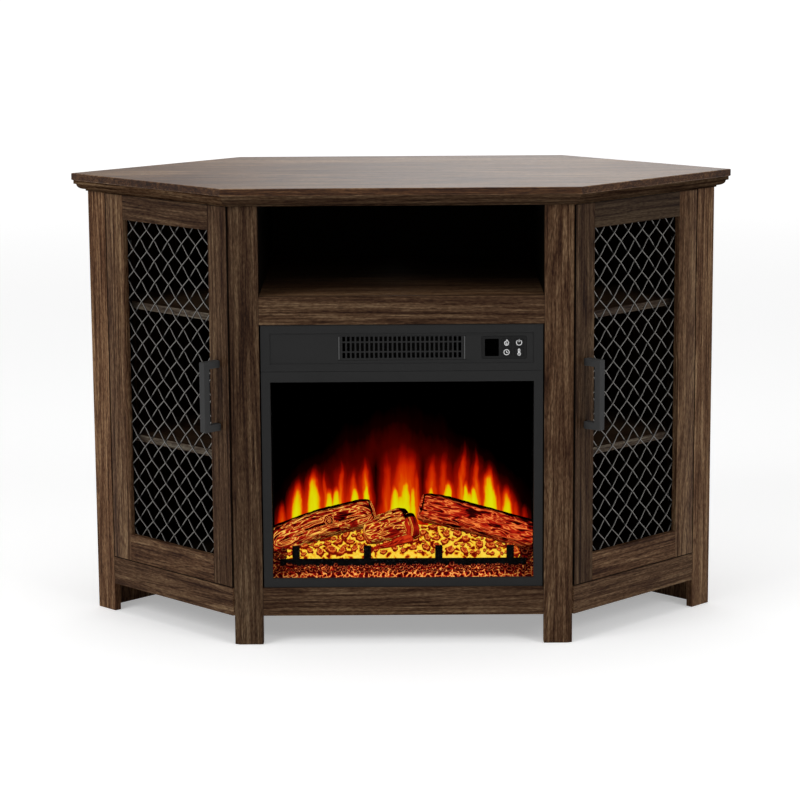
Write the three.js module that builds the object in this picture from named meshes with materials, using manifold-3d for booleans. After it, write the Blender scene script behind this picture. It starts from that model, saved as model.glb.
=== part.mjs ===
// Corner fireplace stand for a television. Millimetres, +Z up, the front faces -Y.
// The origin is on the floor, in the middle of the stand's width and depth.
// The right-hand side is modelled once, and the left-hand side is its mirror image.
import * as THREE from "three";
import { mergeVertices } from "three/addons/utils/BufferGeometryUtils.js";
import Module from "manifold-3d";

const wasm = await Module();
wasm.setup();

// Whole stand
const standHeight = 762;
const frontLegWidth = 48.5;
const doorRun = 358.3;
const bodyDepth = 503.8;
const frontOverhang = 21.9;
const wallOverhang = 16.2;
const seam = 0.3;
const overrun = 3;
const cornerTurn = Math.PI / 4;
const diagonal = Math.SQRT2;

// Boards
const topThickness = 12;
const topEase = 1;
const panelThickness = 12;
const frameThickness = 18;
const backThickness = 3;
const floorGap = 49;
const baseRailHeight = 47.5;
const shelfRailHeight = 46;
const lowerShelfTop = 314.5;
const upperShelfTop = 545;
const shelfSetback = 30;

// Crown moulding below the top board, each inset measured from the board's edge
const crownHeight = 18.3;
const crownInset = 2.4;
const crownFillet = 6.4;
const crownLedge = 3.4;
const crownLedgeDrop = 1;
const crownRoundWidth = 10.1;
const crownRoundHeight = 8;
const crownToe = 1;
const crownBacking = 15;
const crownRoundSteps = 5;

// Legs
const legBevel = 9.7;
const legReach = 1.9;
const rearLegWidth = 45.3;
const hingePostWidth = 15;
const hingePostDepth = 50;

// Doors
const doorGap = 1.5;
const doorStile = 45;
const doorTopRail = 41.5;
const doorBottomRail = 46;
const rebateDepth = 8.5;
const meshLap = 6.5;
const wireWidth = 2.4;
const meshThickness = 4.4;
const wireSpacing = 25.3;
const meshPhaseAcross = 26.6;
const meshPhaseUp = 30.3;

// Bar handles
const handleLength = 117;
const handleWidth = 12;
const handleBar = 11.6;
const handlePost = 12;
const handleReach = 35.3;
const handleInset = 19.3;
const handleRise = 4.4;

// Concealed hinges
const hingeInset = 92;
const cupRadius = 13;
const cupDepth = 10.5;
const cupEdge = 19.5;
const flangeThickness = 1.2;
const flangeHeight = 34;
const flangeWidth = 17;
const armHeight = 16;
const armThickness = 3;
const armPlateDepth = 34;

// Back panel openings
const cableHoleRadius = 22;
const cableHoleDrop = 41.7;
const portWidth = 100;
const portHeight = 80;
const portRise = 60;

// Fireplace insert
const insertWidth = 461;
const insertHeight = 439.7;
const insertSideGap = 2.2;
const insertHeadroom = 0.8;
const insertRecess = 2.5;
const trimDepth = 8;
const windowSide = 14.9;
const windowBottom = 14.6;
const windowDrop = 94.5;
const fasciaDrop = 76.5;
const grooveWidth = 0.8;
const recessSide = 15.3;
const recessTop = 14;
const recessHeight = 50.4;
const recessDepth = 1.5;

// Warm air outlet
const outletWidth = 206.4;
const outletHeight = 40;
const outletTop = 18.6;
const outletFace = 1.9;
const outletThickness = 3;
const slotCount = 26;
const slotPitch = 7.564;
const slotWidth = 4.7;
const slotTopMargin = 1.3;
const slotBar = 2.2;
const slotHeights = [8, 14, 9];

// Controls
const controlWidth = 72.5;
const controlHeight = 36.9;
const controlRight = 27.4;
const controlTop = 20.3;
const controlFace = 0.9;
const controlThickness = 5.1;
const controlCorner = 3;
const displayWidth = 22.9;
const displayHeight = 28.7;
const displayLeft = 4.7;
const displayDepth = 0.8;
const keyWidth = 15;
const keyHeight = 12;
const keyCorner = 2;
const keyProud = 0.6;
const keyLip = 1.4;
const keyLipThickness = 1.2;
const keyColumnPitch = 20.4;
const keyRowPitch = 15.8;
const keyRight = 12;

// Firebox
const glassThickness = 4;
const glassLap = 5.5;
const casingSide = 11.5;
const casingTop = 8;
const sheet = 1.5;
const dividerRise = 10;
const screenThickness = 3;
const screenGap = 3.5;
const rotorSpace = 30;

// Log set, ember bed and grate
const logSides = 14;
const sideLogRadius = 24.5;
const sideLogTip = 18;
const sideLogReach = 209;
const sideLogInner = 47;
const sideLogLow = 64;
const sideLogHigh = 113;
const middleLogRadius = 30;
const middleLogRise = 82;
const middleLogLength = 42;
const middleLogOffset = 13;
const bedGap = 4.7;
const bedSlope = 10;
const bedLedge = 17;
const bedRidgeRun = 13;
const bedRidgeGap = 2.5;
const bedSkirtHeight = 28.7;
const bedRidgeHeight = 58;
const bedHeight = 44;
const grateHalf = 205;
const grateThickness = 6;
const grateHeight = 11.8;
const gratePostWidth = 12.3;
const gratePostRise = 22;
const gratePostCount = 4;
const gratePostPitch = 118.8;

// Flame rotor, blower, heating element and cable gland
const shaftRadius = 2.5;
const bearingClearance = 0.4;
const shaftSides = 12;
const rotorBack = 16;
const rotorRise = 70;
const rotorFins = 9;
const rotorFinLength = 30;
const rotorFinWidth = 18;
const rotorFinThickness = 0.8;
const rotorTurn = Math.PI / 5;
const blowerBack = 55;
const blowerDrop = 42;
const blowerRadius = 24;
const blowerLength = 180;
const blowerDisc = 2;
const blowerDiscs = 3;
const blowerBlades = 14;
const blowerBladeDepth = 6;
const blowerBladeThickness = 1.2;
const heaterWidth = 170;
const heaterHeight = 34;
const heaterThickness = 12;
const heaterBack = 6;
const heaterFoot = 10;
const glandRadius = 9;
const glandNeck = 6;
const glandBore = 3.5;
const glandFlange = 4;
const glandInset = 40;
const glandRise = 40;

// Sizes that follow from the ones above
const bayHalf = insertWidth / 2 + insertSideGap;
const halfFront = bayHalf + frontLegWidth;
const crownTop = standHeight - topThickness;
const crownBottom = crownTop - crownHeight;
const legTop = crownBottom - seam;
const deckTop = floorGap + baseRailHeight;
const insertBottom = deckTop + seam;
const shelfRailBottom = insertBottom + insertHeight + insertHeadroom;
const shelfTop = shelfRailBottom + shelfRailHeight;
const backFront = bodyDepth - backThickness - seam;
const middleDepth = (bodyDepth + wallOverhang - frontOverhang) / 2;
const doorStart = legReach + doorGap;
const doorEnd = doorRun - rearLegWidth - doorGap;
const doorBottom = deckTop + doorGap;
const doorTop = crownBottom - doorGap;
const windowLeft = doorStart + doorStile;
const windowRight = doorEnd - doorStile;
const windowLow = doorBottom + doorBottomRail;
const windowHigh = doorTop - doorTopRail;
const hingeHeights = { upper: doorTop - hingeInset, lower: doorBottom + hingeInset };

// Finishes
const walnut = { color: 0x4c392d, roughness: 0.6, metalness: 0 };
const walnutTop = { color: 0x6a5d54, roughness: 0.5, metalness: 0 };
const hardboard = { color: 0x3a2f28, roughness: 0.8, metalness: 0 };
const charcoal = { color: 0x2b2b2b, roughness: 0.6, metalness: 0.3 };
const blackSheet = { color: 0x141414, roughness: 0.7, metalness: 0.4 };
const blackPlastic = { color: 0x1c1c1c, roughness: 0.5, metalness: 0 };
const wire = { color: 0x77746f, roughness: 0.4, metalness: 0.8 };
const handleMetal = { color: 0x35373a, roughness: 0.5, metalness: 0.6 };
const nickel = { color: 0xb8b8b4, roughness: 0.3, metalness: 0.9 };
const clearGlass = { color: 0x222222, roughness: 0.05, metalness: 0 };
const emberResin = { color: 0xa83a10, roughness: 0.8, metalness: 0 };
const barkResin = { color: 0x5a2012, roughness: 0.9, metalness: 0 };
const foil = { color: 0xc8c8c8, roughness: 0.2, metalness: 0.9 };

// Basic shapes
function block(left, right, front, back, low, high) {
  const geometry = new THREE.BoxGeometry(right - left, back - front, high - low);
  return geometry.translate((left + right) / 2, (front + back) / 2, (low + high) / 2);
}

function outline(points) {
  return new THREE.Shape(points.map(([x, y]) => new THREE.Vector2(x, y)));
}

function prism(points, low, high) {
  const options = { depth: high - low, bevelEnabled: false };
  return new THREE.ExtrudeGeometry(outline(points), options).translate(0, 0, low);
}

// A rectangle with round corners in X and Z, carried along Y.
function roundedPlate(width, height, corner, front, back) {
  const halfWidth = width / 2;
  const halfHeight = height / 2;
  const shape = new THREE.Shape();
  shape.moveTo(corner - halfWidth, -halfHeight);
  shape.lineTo(halfWidth - corner, -halfHeight);
  shape.absarc(halfWidth - corner, corner - halfHeight, corner, -Math.PI / 2, 0);
  shape.absarc(halfWidth - corner, halfHeight - corner, corner, 0, Math.PI / 2);
  shape.absarc(corner - halfWidth, halfHeight - corner, corner, Math.PI / 2, Math.PI);
  shape.absarc(corner - halfWidth, corner - halfHeight, corner, Math.PI, Math.PI * 1.5);
  const options = { depth: back - front, bevelEnabled: false, curveSegments: 3 };
  const geometry = new THREE.ExtrudeGeometry(shape, options);
  return geometry.rotateX(Math.PI / 2).translate(0, back, 0);
}

// A round bar along X.
function barAlongX(radius, tipRadius, left, right, sides) {
  const geometry = new THREE.CylinderGeometry(tipRadius, radius, right - left, sides);
  return geometry.rotateZ(-Math.PI / 2).translate((left + right) / 2, 0, 0);
}

// Joining and cutting
function toSolid(geometry) {
  const plain = geometry.clone();
  plain.deleteAttribute("normal");
  plain.deleteAttribute("uv");
  const merged = mergeVertices(plain);
  const vertProperties = merged.attributes.position.array;
  const triVerts = new Uint32Array(merged.index.array);
  return new wasm.Manifold(new wasm.Mesh({ numProp: 3, vertProperties, triVerts }));
}

function toGeometry(solid) {
  const mesh = solid.getMesh();
  const indexed = new THREE.BufferGeometry();
  indexed.setAttribute("position", new THREE.BufferAttribute(mesh.vertProperties, 3));
  indexed.setIndex(new THREE.BufferAttribute(mesh.triVerts, 1));
  const geometry = indexed.toNonIndexed();
  geometry.computeVertexNormals();
  return geometry;
}

function join(first, ...others) {
  return toGeometry(others.reduce((whole, other) => whole.add(toSolid(other)), toSolid(first)));
}

function cut(base, ...tools) {
  return toGeometry(tools.reduce((rest, tool) => rest.subtract(toSolid(tool)), toSolid(base)));
}

function common(first, second) {
  return toGeometry(toSolid(first).intersect(toSolid(second)));
}

// Plan of the cabinet: the right-hand corners, with each kind of face moved out by its own amount.
function planCorners(frontOut, doorOut, wallOut, backOut) {
  const doorLine = halfFront + doorOut * diagonal;
  const wallLine = halfFront + (doorRun + wallOut) * diagonal;
  const rear = bodyDepth + backOut;
  return {
    front: [doorLine - frontOut, -frontOut],
    tip: [(wallLine + doorLine) / 2, (wallLine - doorLine) / 2],
    back: [wallLine - rear, rear],
  };
}

function planOutline(frontOut, doorOut, wallOut, backOut) {
  const { front, tip, back } = planCorners(frontOut, doorOut, wallOut, backOut);
  const right = [front, tip, back];
  const left = right.map(([x, y]) => [-x, y]).reverse();
  return [...right, ...left];
}

// A closed profile of [inset, height] points carried through stations, with a cap at each end.
// A station gives the place in plan that belongs to an inset.
function carried(profile, stations) {
  const count = profile.length;
  const places = stations.flatMap((at) => profile.map(([inset, z]) => [...at(inset), z]));
  const faces = [];
  for (let station = 0; station + 1 < stations.length; station += 1) {
    for (let index = 0; index < count; index += 1) {
      const near = station * count + index;
      const nearNext = station * count + ((index + 1) % count);
      faces.push(near, nearNext, nearNext + count);
      faces.push(near, nearNext + count, near + count);
    }
  }
  const last = (stations.length - 1) * count;
  const flat = profile.map(([inset, z]) => new THREE.Vector2(inset, z));
  for (const [a, b, c] of THREE.ShapeUtils.triangulateShape(flat, [])) {
    faces.push(a, c, b);
    faces.push(last + a, last + b, last + c);
  }
  const indexed = new THREE.BufferGeometry();
  indexed.setAttribute("position", new THREE.Float32BufferAttribute(places.flat(), 3));
  indexed.setIndex(faces);
  const geometry = indexed.toNonIndexed();
  geometry.computeVertexNormals();
  return geometry;
}

// Crown moulding: a fillet, a ledge, a quarter round and a toe, with a flat soffit behind them.
function crownProfile() {
  const filletLow = crownTop - crownFillet;
  const roundTop = filletLow - crownLedgeDrop;
  const roundEnd = crownInset + crownLedge + crownRoundWidth;
  const points = [];
  points.push([crownInset, crownTop - seam]);
  points.push([crownInset, filletLow]);
  for (let step = 0; step <= crownRoundSteps; step += 1) {
    const angle = (step / crownRoundSteps) * (Math.PI / 2);
    const inset = roundEnd - crownRoundWidth * Math.cos(angle);
    points.push([inset, roundTop - crownRoundHeight * Math.sin(angle)]);
  }
  points.push([roundEnd + crownToe, roundTop - crownRoundHeight]);
  points.push([roundEnd + crownToe, crownBottom]);
  points.push([frontOverhang + crownBacking, crownBottom]);
  points.push([frontOverhang + crownBacking, crownTop - seam]);
  return points;
}

function crownCorners(inset) {
  const out = frontOverhang - inset;
  return planCorners(out, out, wallOverhang - inset, -backThickness - seam);
}

function frontCrown() {
  const right = (inset) => {
    const [x, y] = crownCorners(inset).front;
    return [x - seam / 2, y];
  };
  const left = (inset) => {
    const [x, y] = right(inset);
    return [-x, y];
  };
  return carried(crownProfile(), [left, right]);
}

function sideCrown() {
  const mitre = (inset) => {
    const [x, y] = crownCorners(inset).front;
    return [x + seam / 2, y + seam / 2];
  };
  const tip = (inset) => crownCorners(inset).tip;
  const back = (inset) => crownCorners(inset).back;
  return carried(crownProfile(), [mitre, tip, back]);
}

// Boards of the carcass
function topBoard() {
  const points = planOutline(frontOverhang, frontOverhang, wallOverhang, wallOverhang);
  const options = {
    depth: topThickness - 2 * topEase,
    bevelThickness: topEase,
    bevelSize: topEase,
    bevelOffset: -topEase,
    bevelSegments: 1,
  };
  const geometry = new THREE.ExtrudeGeometry(outline(points), options);
  return geometry.translate(0, 0, crownTop + topEase);
}

function bottomBoard() {
  const inFront = -frameThickness - seam;
  const points = planOutline(inFront, inFront, -panelThickness - seam, -backThickness - seam);
  return prism(points, deckTop - panelThickness, deckTop);
}

// The board's corner behind each front leg is bevelled, and the door's edge closes past the bevel.
function frontLeg() {
  const turn = cornerTurn / 2;
  const bevel = (legReach + legBevel / diagonal) / Math.cos(turn);
  const bevelStart = halfFront - legBevel;
  const points = [
    [bayHalf, 0],
    [bevelStart, 0],
    [bevelStart + bevel * Math.cos(turn), bevel * Math.sin(turn)],
    [halfFront + legReach * diagonal - frameThickness, frameThickness],
    [bayHalf, frameThickness],
  ];
  return prism(points, 0, legTop);
}

// The room between the side panels, in front of the back panel.
function interior(doorOut, backOut, low, high) {
  return prism(planOutline(0, doorOut, -panelThickness - seam, backOut), low, high);
}

function partition() {
  const right = bayHalf + panelThickness;
  const front = frameThickness + seam;
  const low = deckTop + seam;
  const high = crownTop - seam;
  const board = block(bayHalf, right, front, backFront, low, high);
  return common(board, interior(0, -backThickness - seam, low, high));
}

function bayRail(low, high) {
  return block(seam - bayHalf, bayHalf - seam, 0, frameThickness, low, high);
}

function mediaShelf() {
  const half = bayHalf - seam;
  const low = shelfTop - panelThickness;
  const board = block(-half, half, frameThickness + seam, backFront, low, shelfTop);
  return common(board, interior(0, -backThickness - 2 * seam, low, shelfTop));
}

// Seen from above, a side shelf fills the cupboard from the setback to the back, round the hinge post.
function sideShelf(top) {
  const low = top - panelThickness;
  const under = low - overrun;
  const over = top + overrun;
  const plan = interior(-shelfSetback, -backThickness - 2 * seam, low, top);
  const left = bayHalf + panelThickness + seam;
  const room = block(left, halfFront + doorRun, frameThickness + seam, bodyDepth, under, over);
  const postStart = doorRun - rearLegWidth - seam;
  const postBack = panelThickness + hingePostDepth + seam;
  const notch = block(postStart, doorRun, 0, postBack, under, over);
  return cut(common(plan, room), notch.rotateZ(cornerTurn).translate(halfFront, 0, 0));
}

function backPanel() {
  const half = planCorners(0, 0, 0, 0).back[0];
  const low = deckTop - panelThickness;
  const sheetBack = block(-half, half, bodyDepth - backThickness, bodyDepth, low, crownTop - seam);
  const through = 2 * backThickness + 2 * overrun;
  const round = new THREE.CylinderGeometry(cableHoleRadius, cableHoleRadius, through, 24);
  round.translate(0, bodyDepth, crownTop - cableHoleDrop);
  const portLow = deckTop + portRise;
  const front = bodyDepth - backThickness - overrun;
  const port = block(-portWidth / 2, portWidth / 2, front, bodyDepth + overrun, portLow, portLow + portHeight);
  return cut(sheetBack, round, port);
}

// Pieces along a door face: x runs along the face from the front leg's corner, y runs inwards.
function rearLeg() {
  const inner = doorRun - rearLegWidth;
  const face = block(inner, doorRun, 0, panelThickness, 0, legTop);
  const postBack = panelThickness + hingePostDepth;
  const post = block(inner, inner + hingePostWidth, panelThickness / 2, postBack, insertBottom, legTop);
  return join(face, post);
}

function alongWall(along, y) {
  return y * diagonal - along;
}

function sidePanel() {
  const inner = doorRun - panelThickness;
  const front = panelThickness + seam;
  const points = [
    [inner, front],
    [doorRun, front],
    [doorRun, alongWall(doorRun, backFront)],
    [inner, alongWall(inner, backFront)],
  ];
  return prism(points, 0, legTop);
}

function sideBaseRail() {
  const start = legReach + seam;
  const end = doorRun - rearLegWidth - seam;
  return block(start, end, 0, frameThickness, floorGap, deckTop);
}

// Door
function meshRebate() {
  const lap = meshLap + seam;
  const front = frameThickness - rebateDepth;
  const back = frameThickness + overrun;
  return block(windowLeft - lap, windowRight + lap, front, back, windowLow - lap, windowHigh + lap);
}

function lockStile() {
  const stile = block(doorStart, windowLeft, 0, frameThickness, doorBottom, doorTop);
  return cut(stile, meshRebate());
}

function hingeStile() {
  const stile = block(windowRight, doorEnd, 0, frameThickness, doorBottom, doorTop);
  const bores = Object.values(hingeHeights).map((height) => cupCylinder(height, seam, overrun));
  return cut(stile, meshRebate(), ...bores);
}

function doorRail(low, high) {
  const rail = block(windowLeft + seam, windowRight - seam, 0, frameThickness, low, high);
  return cut(rail, meshRebate());
}

// Diamond net: the gaps between wires at 45 degrees, cut from a sheet whose rim lies in the rebate.
function wireMesh() {
  const front = frameThickness - rebateDepth + seam;
  const back = front + meshThickness;
  const width = windowRight - windowLeft;
  const height = windowHigh - windowLow;
  const across = (wireSpacing * diagonal) / 2;
  const half = (wireSpacing - wireWidth) / 2;
  const gaps = [];
  const columns = [Math.floor(-meshPhaseAcross / across), Math.ceil((width - meshPhaseAcross) / across)];
  const rows = [Math.floor(-meshPhaseUp / across), Math.ceil((height - meshPhaseUp) / across)];
  for (let column = columns[0]; column <= columns[1]; column += 1) {
    for (let row = rows[0]; row <= rows[1]; row += 1) {
      if ((column + row) % 2 === 0) continue;
      const x = windowLeft + meshPhaseAcross + column * across;
      const z = windowLow + meshPhaseUp + row * across;
      const gap = block(-half, half, front - overrun, back + overrun, -half, half);
      gaps.push(gap.rotateY(cornerTurn).translate(x, 0, z));
    }
  }
  const outer = [windowLeft - meshLap, windowRight + meshLap];
  const tall = [windowLow - meshLap, windowHigh + meshLap];
  const sheetSolid = block(...outer, front, back, ...tall);
  const window = block(windowLeft, windowRight, front - overrun, back + overrun, windowLow, windowHigh);
  return cut(sheetSolid, common(join(...gaps), window));
}

function doorHandle() {
  const left = doorStart + handleInset;
  const middle = (doorBottom + doorTop) / 2 + handleRise;
  const low = middle - handleLength / 2;
  const high = middle + handleLength / 2;
  const inside = handleReach - handleBar;
  const points = [
    [seam, low],
    [handleReach, low],
    [handleReach, high],
    [seam, high],
    [seam, high - handlePost],
    [inside, high - handlePost],
    [inside, low + handlePost],
    [seam, low + handlePost],
  ];
  const bar = prism(points, 0, handleWidth);
  const upright = new THREE.Matrix4();
  const along = new THREE.Vector3(1, 0, 0);
  const outwards = new THREE.Vector3(0, -1, 0);
  const up = new THREE.Vector3(0, 0, 1);
  bar.applyMatrix4(upright.makeBasis(outwards, up, along.negate()));
  return bar.translate(left + handleWidth, 0, 0);
}

function cupCylinder(height, clearance, extra) {
  const radius = cupRadius + clearance;
  const depth = cupDepth + clearance + extra;
  const cup = new THREE.CylinderGeometry(radius, radius, depth, 20);
  const front = frameThickness - cupDepth - clearance;
  return cup.translate(doorEnd - cupEdge, front + depth / 2, height);
}

function hingeCup(height) {
  const cup = cupCylinder(height, 0, seam + flangeThickness / 2);
  const centre = doorEnd - cupEdge;
  const front = frameThickness + seam;
  const back = front + flangeThickness;
  const low = height - flangeHeight / 2;
  const high = height + flangeHeight / 2;
  const flange = block(centre - flangeWidth / 2, centre + flangeWidth / 2, front, back, low, high);
  return join(cup, flange);
}

// The fixed half of a hinge: a plate on the hinge post and an arm that reaches over the cup.
function hingeArm(height) {
  const plateRight = doorRun - rearLegWidth - seam;
  const plateLeft = plateRight - armThickness;
  const front = frameThickness + flangeThickness + 2 * seam;
  const low = height - armHeight / 2;
  const high = height + armHeight / 2;
  const plate = block(plateLeft, plateRight, front, front + armPlateDepth, low, high);
  const arm = block(doorEnd - cupEdge, plateRight, front, front + 2 * armThickness, low, high);
  return join(plate, arm);
}

// Fireplace insert: x is centred, y runs back from the trim's face, z runs up from its lower edge.
const trimHalf = insertWidth / 2;
const windowHalf = trimHalf - windowSide;
const windowTop = insertHeight - windowDrop;
const glassBack = trimDepth + seam + glassThickness;
const casingFront = glassBack + seam;
const bedFront = glassBack + bedGap;
const bedSkirt = bedFront + bedSlope;
const bedShelf = bedSkirt + bedLedge;
const bedRidge = bedShelf + bedRidgeRun;
const logDepth = bedRidge + bedRidgeGap + sideLogRadius;
const screenFront = logDepth + sideLogRadius + screenGap;
const casingDepth = screenFront + screenThickness + rotorSpace;
const casingHalf = trimHalf - casingSide;
const casingInner = casingHalf - sheet;
const dividerTop = windowTop + glassLap + dividerRise;
const controlCentreX = trimHalf - controlRight - controlWidth / 2;
const controlCentreZ = insertHeight - controlTop - controlHeight / 2;
const outletCentreZ = insertHeight - outletTop - outletHeight / 2;
const rotorPlace = [0, casingDepth - rotorBack, rotorRise];
const blowerPlace = [0, casingDepth - blowerBack, insertHeight - casingTop - blowerDrop];
const shaftHalf = casingHalf + sheet;

function trimFrame() {
  const plate = block(-trimHalf, trimHalf, 0, trimDepth, 0, insertHeight);
  const back = trimDepth + overrun;
  const window = block(-windowHalf, windowHalf, -overrun, back, windowBottom, windowTop);
  const recessHalf = trimHalf - recessSide;
  const recessHigh = insertHeight - recessTop;
  const recessLow = recessHigh - recessHeight;
  const recess = block(-recessHalf, recessHalf, -overrun, recessDepth, recessLow, recessHigh);
  const outlet = roundedPlate(outletWidth + 2 * seam, outletHeight + 2 * seam, seam, -overrun, back);
  outlet.translate(0, 0, outletCentreZ);
  const wide = controlWidth + 2 * seam;
  const tall = controlHeight + 2 * seam;
  const control = roundedPlate(wide, tall, controlCorner + seam, -overrun, back);
  control.translate(controlCentreX, 0, controlCentreZ);
  const grooveTop = insertHeight - fasciaDrop;
  const past = trimHalf + overrun;
  const groove = block(-past, past, -overrun, grooveWidth, grooveTop - grooveWidth, grooveTop);
  return cut(plate, window, recess, outlet, control, groove);
}

function outletGrille() {
  const half = outletWidth / 2;
  const top = outletCentreZ + outletHeight / 2;
  const back = outletFace + outletThickness;
  const slots = [];
  let high = top - slotTopMargin;
  for (const height of slotHeights) {
    for (let column = 0; column < slotCount; column += 1) {
      const left = (column - (slotCount - 1) / 2) * slotPitch - slotWidth / 2;
      slots.push(block(left, left + slotWidth, -overrun, back + overrun, high - height, high));
    }
    high -= height + slotBar;
  }
  return cut(block(-half, half, outletFace, back, top - outletHeight, top), join(...slots));
}

function keyPlaces() {
  const right = trimHalf - controlRight - keyRight;
  const high = controlCentreZ + keyRowPitch / 2;
  const low = controlCentreZ - keyRowPitch / 2;
  return {
    flame_key: [right - keyColumnPitch, high],
    power_key: [right, high],
    timer_key: [right - keyColumnPitch, low],
    heat_key: [right, low],
  };
}

function controlPlate() {
  const back = controlFace + controlThickness;
  const plate = roundedPlate(controlWidth, controlHeight, controlCorner, controlFace, back);
  plate.translate(controlCentreX, 0, controlCentreZ);
  const left = controlCentreX - controlWidth / 2 + displayLeft;
  const low = controlCentreZ - displayHeight / 2;
  const high = controlCentreZ + displayHeight / 2;
  const display = block(left, left + displayWidth, -overrun, controlFace + displayDepth, low, high);
  const holes = Object.values(keyPlaces()).map(([x, z]) => {
    const wide = keyWidth + 2 * seam;
    const tall = keyHeight + 2 * seam;
    const hole = roundedPlate(wide, tall, keyCorner + seam, -overrun, back + overrun);
    return hole.translate(x, 0, z);
  });
  return cut(plate, display, ...holes);
}

function keyCap(x, z) {
  const back = controlFace + controlThickness + seam;
  const cap = roundedPlate(keyWidth, keyHeight, keyCorner, controlFace - keyProud, back + keyLipThickness);
  const wide = keyWidth + 2 * keyLip;
  const tall = keyHeight + 2 * keyLip;
  const lip = roundedPlate(wide, tall, keyCorner, back, back + keyLipThickness);
  return join(cap, lip).translate(x, 0, z);
}

function glassPanel() {
  const half = windowHalf + glassLap;
  const front = trimDepth + seam;
  return block(-half, half, front, glassBack, windowBottom - glassLap, windowTop + glassLap);
}

// Sheet metal box with a firebox below and an air space above, both open at the front.
function casing() {
  const top = insertHeight - casingTop;
  const front = trimDepth + seam;
  const body = block(-casingHalf, casingHalf, front, casingDepth, 0, top);
  const rear = casingDepth - sheet;
  const airLow = dividerTop;
  const fireHigh = dividerTop - sheet;
  const firebox = block(-casingInner, casingInner, -overrun, rear, sheet, fireHigh);
  const airSpace = block(-casingInner, casingInner, -overrun, rear, airLow, top - sheet);
  const glassHalf = windowHalf + glassLap + seam;
  const glassLow = windowBottom - glassLap - seam;
  const glassHigh = windowTop + glassLap + seam;
  const rebate = block(-glassHalf, glassHalf, -overrun, casingFront, glassLow, glassHigh);
  const bearing = shaftRadius + bearingClearance;
  const past = casingHalf + overrun;
  const rotorHole = barAlongX(bearing, bearing, -past, past, shaftSides).translate(...rotorPlace);
  const blowerHole = barAlongX(bearing, bearing, -past, past, shaftSides).translate(...blowerPlace);
  const glandHole = new THREE.CylinderGeometry(glandNeck + seam, glandNeck + seam, 4 * sheet, 20);
  glandHole.translate(glandInset - casingHalf, casingDepth, glandRise);
  return cut(body, firebox, airSpace, rebate, rotorHole, blowerHole, glandHole);
}

function flameScreen() {
  const half = casingInner - seam;
  const high = dividerTop - sheet - seam;
  return block(-half, half, screenFront, screenFront + screenThickness, sheet + seam, high);
}

// One resin moulding of three logs: two that lean together and a stump between them.
function logSet() {
  const run = sideLogReach - sideLogInner;
  const tilt = Math.atan2(sideLogHigh - sideLogLow, run);
  const length = run / Math.cos(tilt);
  const logs = [-1, 1].map((hand) => {
    const log = barAlongX(sideLogTip, sideLogRadius, 0, length, logSides);
    log.rotateY(-tilt).translate(-sideLogReach, logDepth, sideLogLow);
    return hand < 0 ? log : log.rotateZ(Math.PI).translate(0, 2 * logDepth, 0);
  });
  const stump = new THREE.CylinderGeometry(middleLogRadius, middleLogRadius, middleLogLength, logSides);
  stump.translate(-middleLogOffset, logDepth, middleLogRise);
  const knee = block(
    -sideLogInner - sideLogRadius,
    sideLogInner + sideLogRadius,
    logDepth - sideLogTip / 2,
    logDepth + sideLogTip / 2,
    bedHeight + seam,
    middleLogRise,
  );
  return join(...logs, stump, knee);
}

function emberBed() {
  const low = sheet + seam;
  const back = screenFront - seam;
  const points = [
    [bedFront, low],
    [back, low],
    [back, bedHeight],
    [bedRidge, bedHeight],
    [bedRidge, bedRidgeHeight],
    [bedShelf, bedSkirtHeight],
    [bedSkirt, bedSkirtHeight],
    [bedFront, bedSkirtHeight - bedSlope],
  ];
  const half = casingInner - seam;
  const bed = prism(points, -half, half);
  const along = new THREE.Vector3(1, 0, 0);
  const back3 = new THREE.Vector3(0, 1, 0);
  const up = new THREE.Vector3(0, 0, 1);
  return bed.applyMatrix4(new THREE.Matrix4().makeBasis(back3, up, along));
}

function fireGrate() {
  const low = bedSkirtHeight + seam;
  const high = low + grateHeight;
  const back = bedSkirt + grateThickness;
  const bar = block(-grateHalf, grateHalf, bedSkirt, back, low, high);
  const posts = [];
  for (let index = 0; index < gratePostCount; index += 1) {
    const centre = (index - (gratePostCount - 1) / 2) * gratePostPitch;
    const left = centre - gratePostWidth / 2;
    posts.push(block(left, left + gratePostWidth, bedSkirt, back, low, high + gratePostRise));
  }
  return join(bar, ...posts);
}

function flameRotor() {
  const shaft = barAlongX(shaftRadius, shaftRadius, -shaftHalf, shaftHalf, shaftSides);
  const pitch = (2 * casingInner) / rotorFins;
  const fins = [];
  for (let index = 0; index < rotorFins; index += 1) {
    const centre = (index - (rotorFins - 1) / 2) * pitch;
    const left = centre - rotorFinLength / 2;
    const right = centre + rotorFinLength / 2;
    const half = rotorFinWidth / 2;
    const thin = rotorFinThickness / 2;
    fins.push(block(left, right, -half, half, -thin, thin).rotateX(index * rotorTurn));
  }
  return join(shaft, ...fins).translate(...rotorPlace);
}

function blowerWheel() {
  const shaft = barAlongX(shaftRadius, shaftRadius, -shaftHalf, shaftHalf, shaftSides);
  const parts = [];
  for (let index = 0; index < blowerDiscs; index += 1) {
    const centre = (index / (blowerDiscs - 1) - 0.5) * (blowerLength - blowerDisc);
    const left = centre - blowerDisc / 2;
    parts.push(barAlongX(blowerRadius, blowerRadius, left, left + blowerDisc, 2 * blowerBlades));
  }
  for (let index = 0; index < blowerBlades; index += 1) {
    const thin = blowerBladeThickness / 2;
    const inner = blowerRadius - blowerBladeDepth;
    const half = blowerLength / 2;
    const blade = block(-half, half, inner, blowerRadius - blowerDisc, -thin, thin);
    parts.push(blade.rotateX((index / blowerBlades) * 2 * Math.PI));
  }
  return join(shaft, ...parts).translate(...blowerPlace);
}

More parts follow.
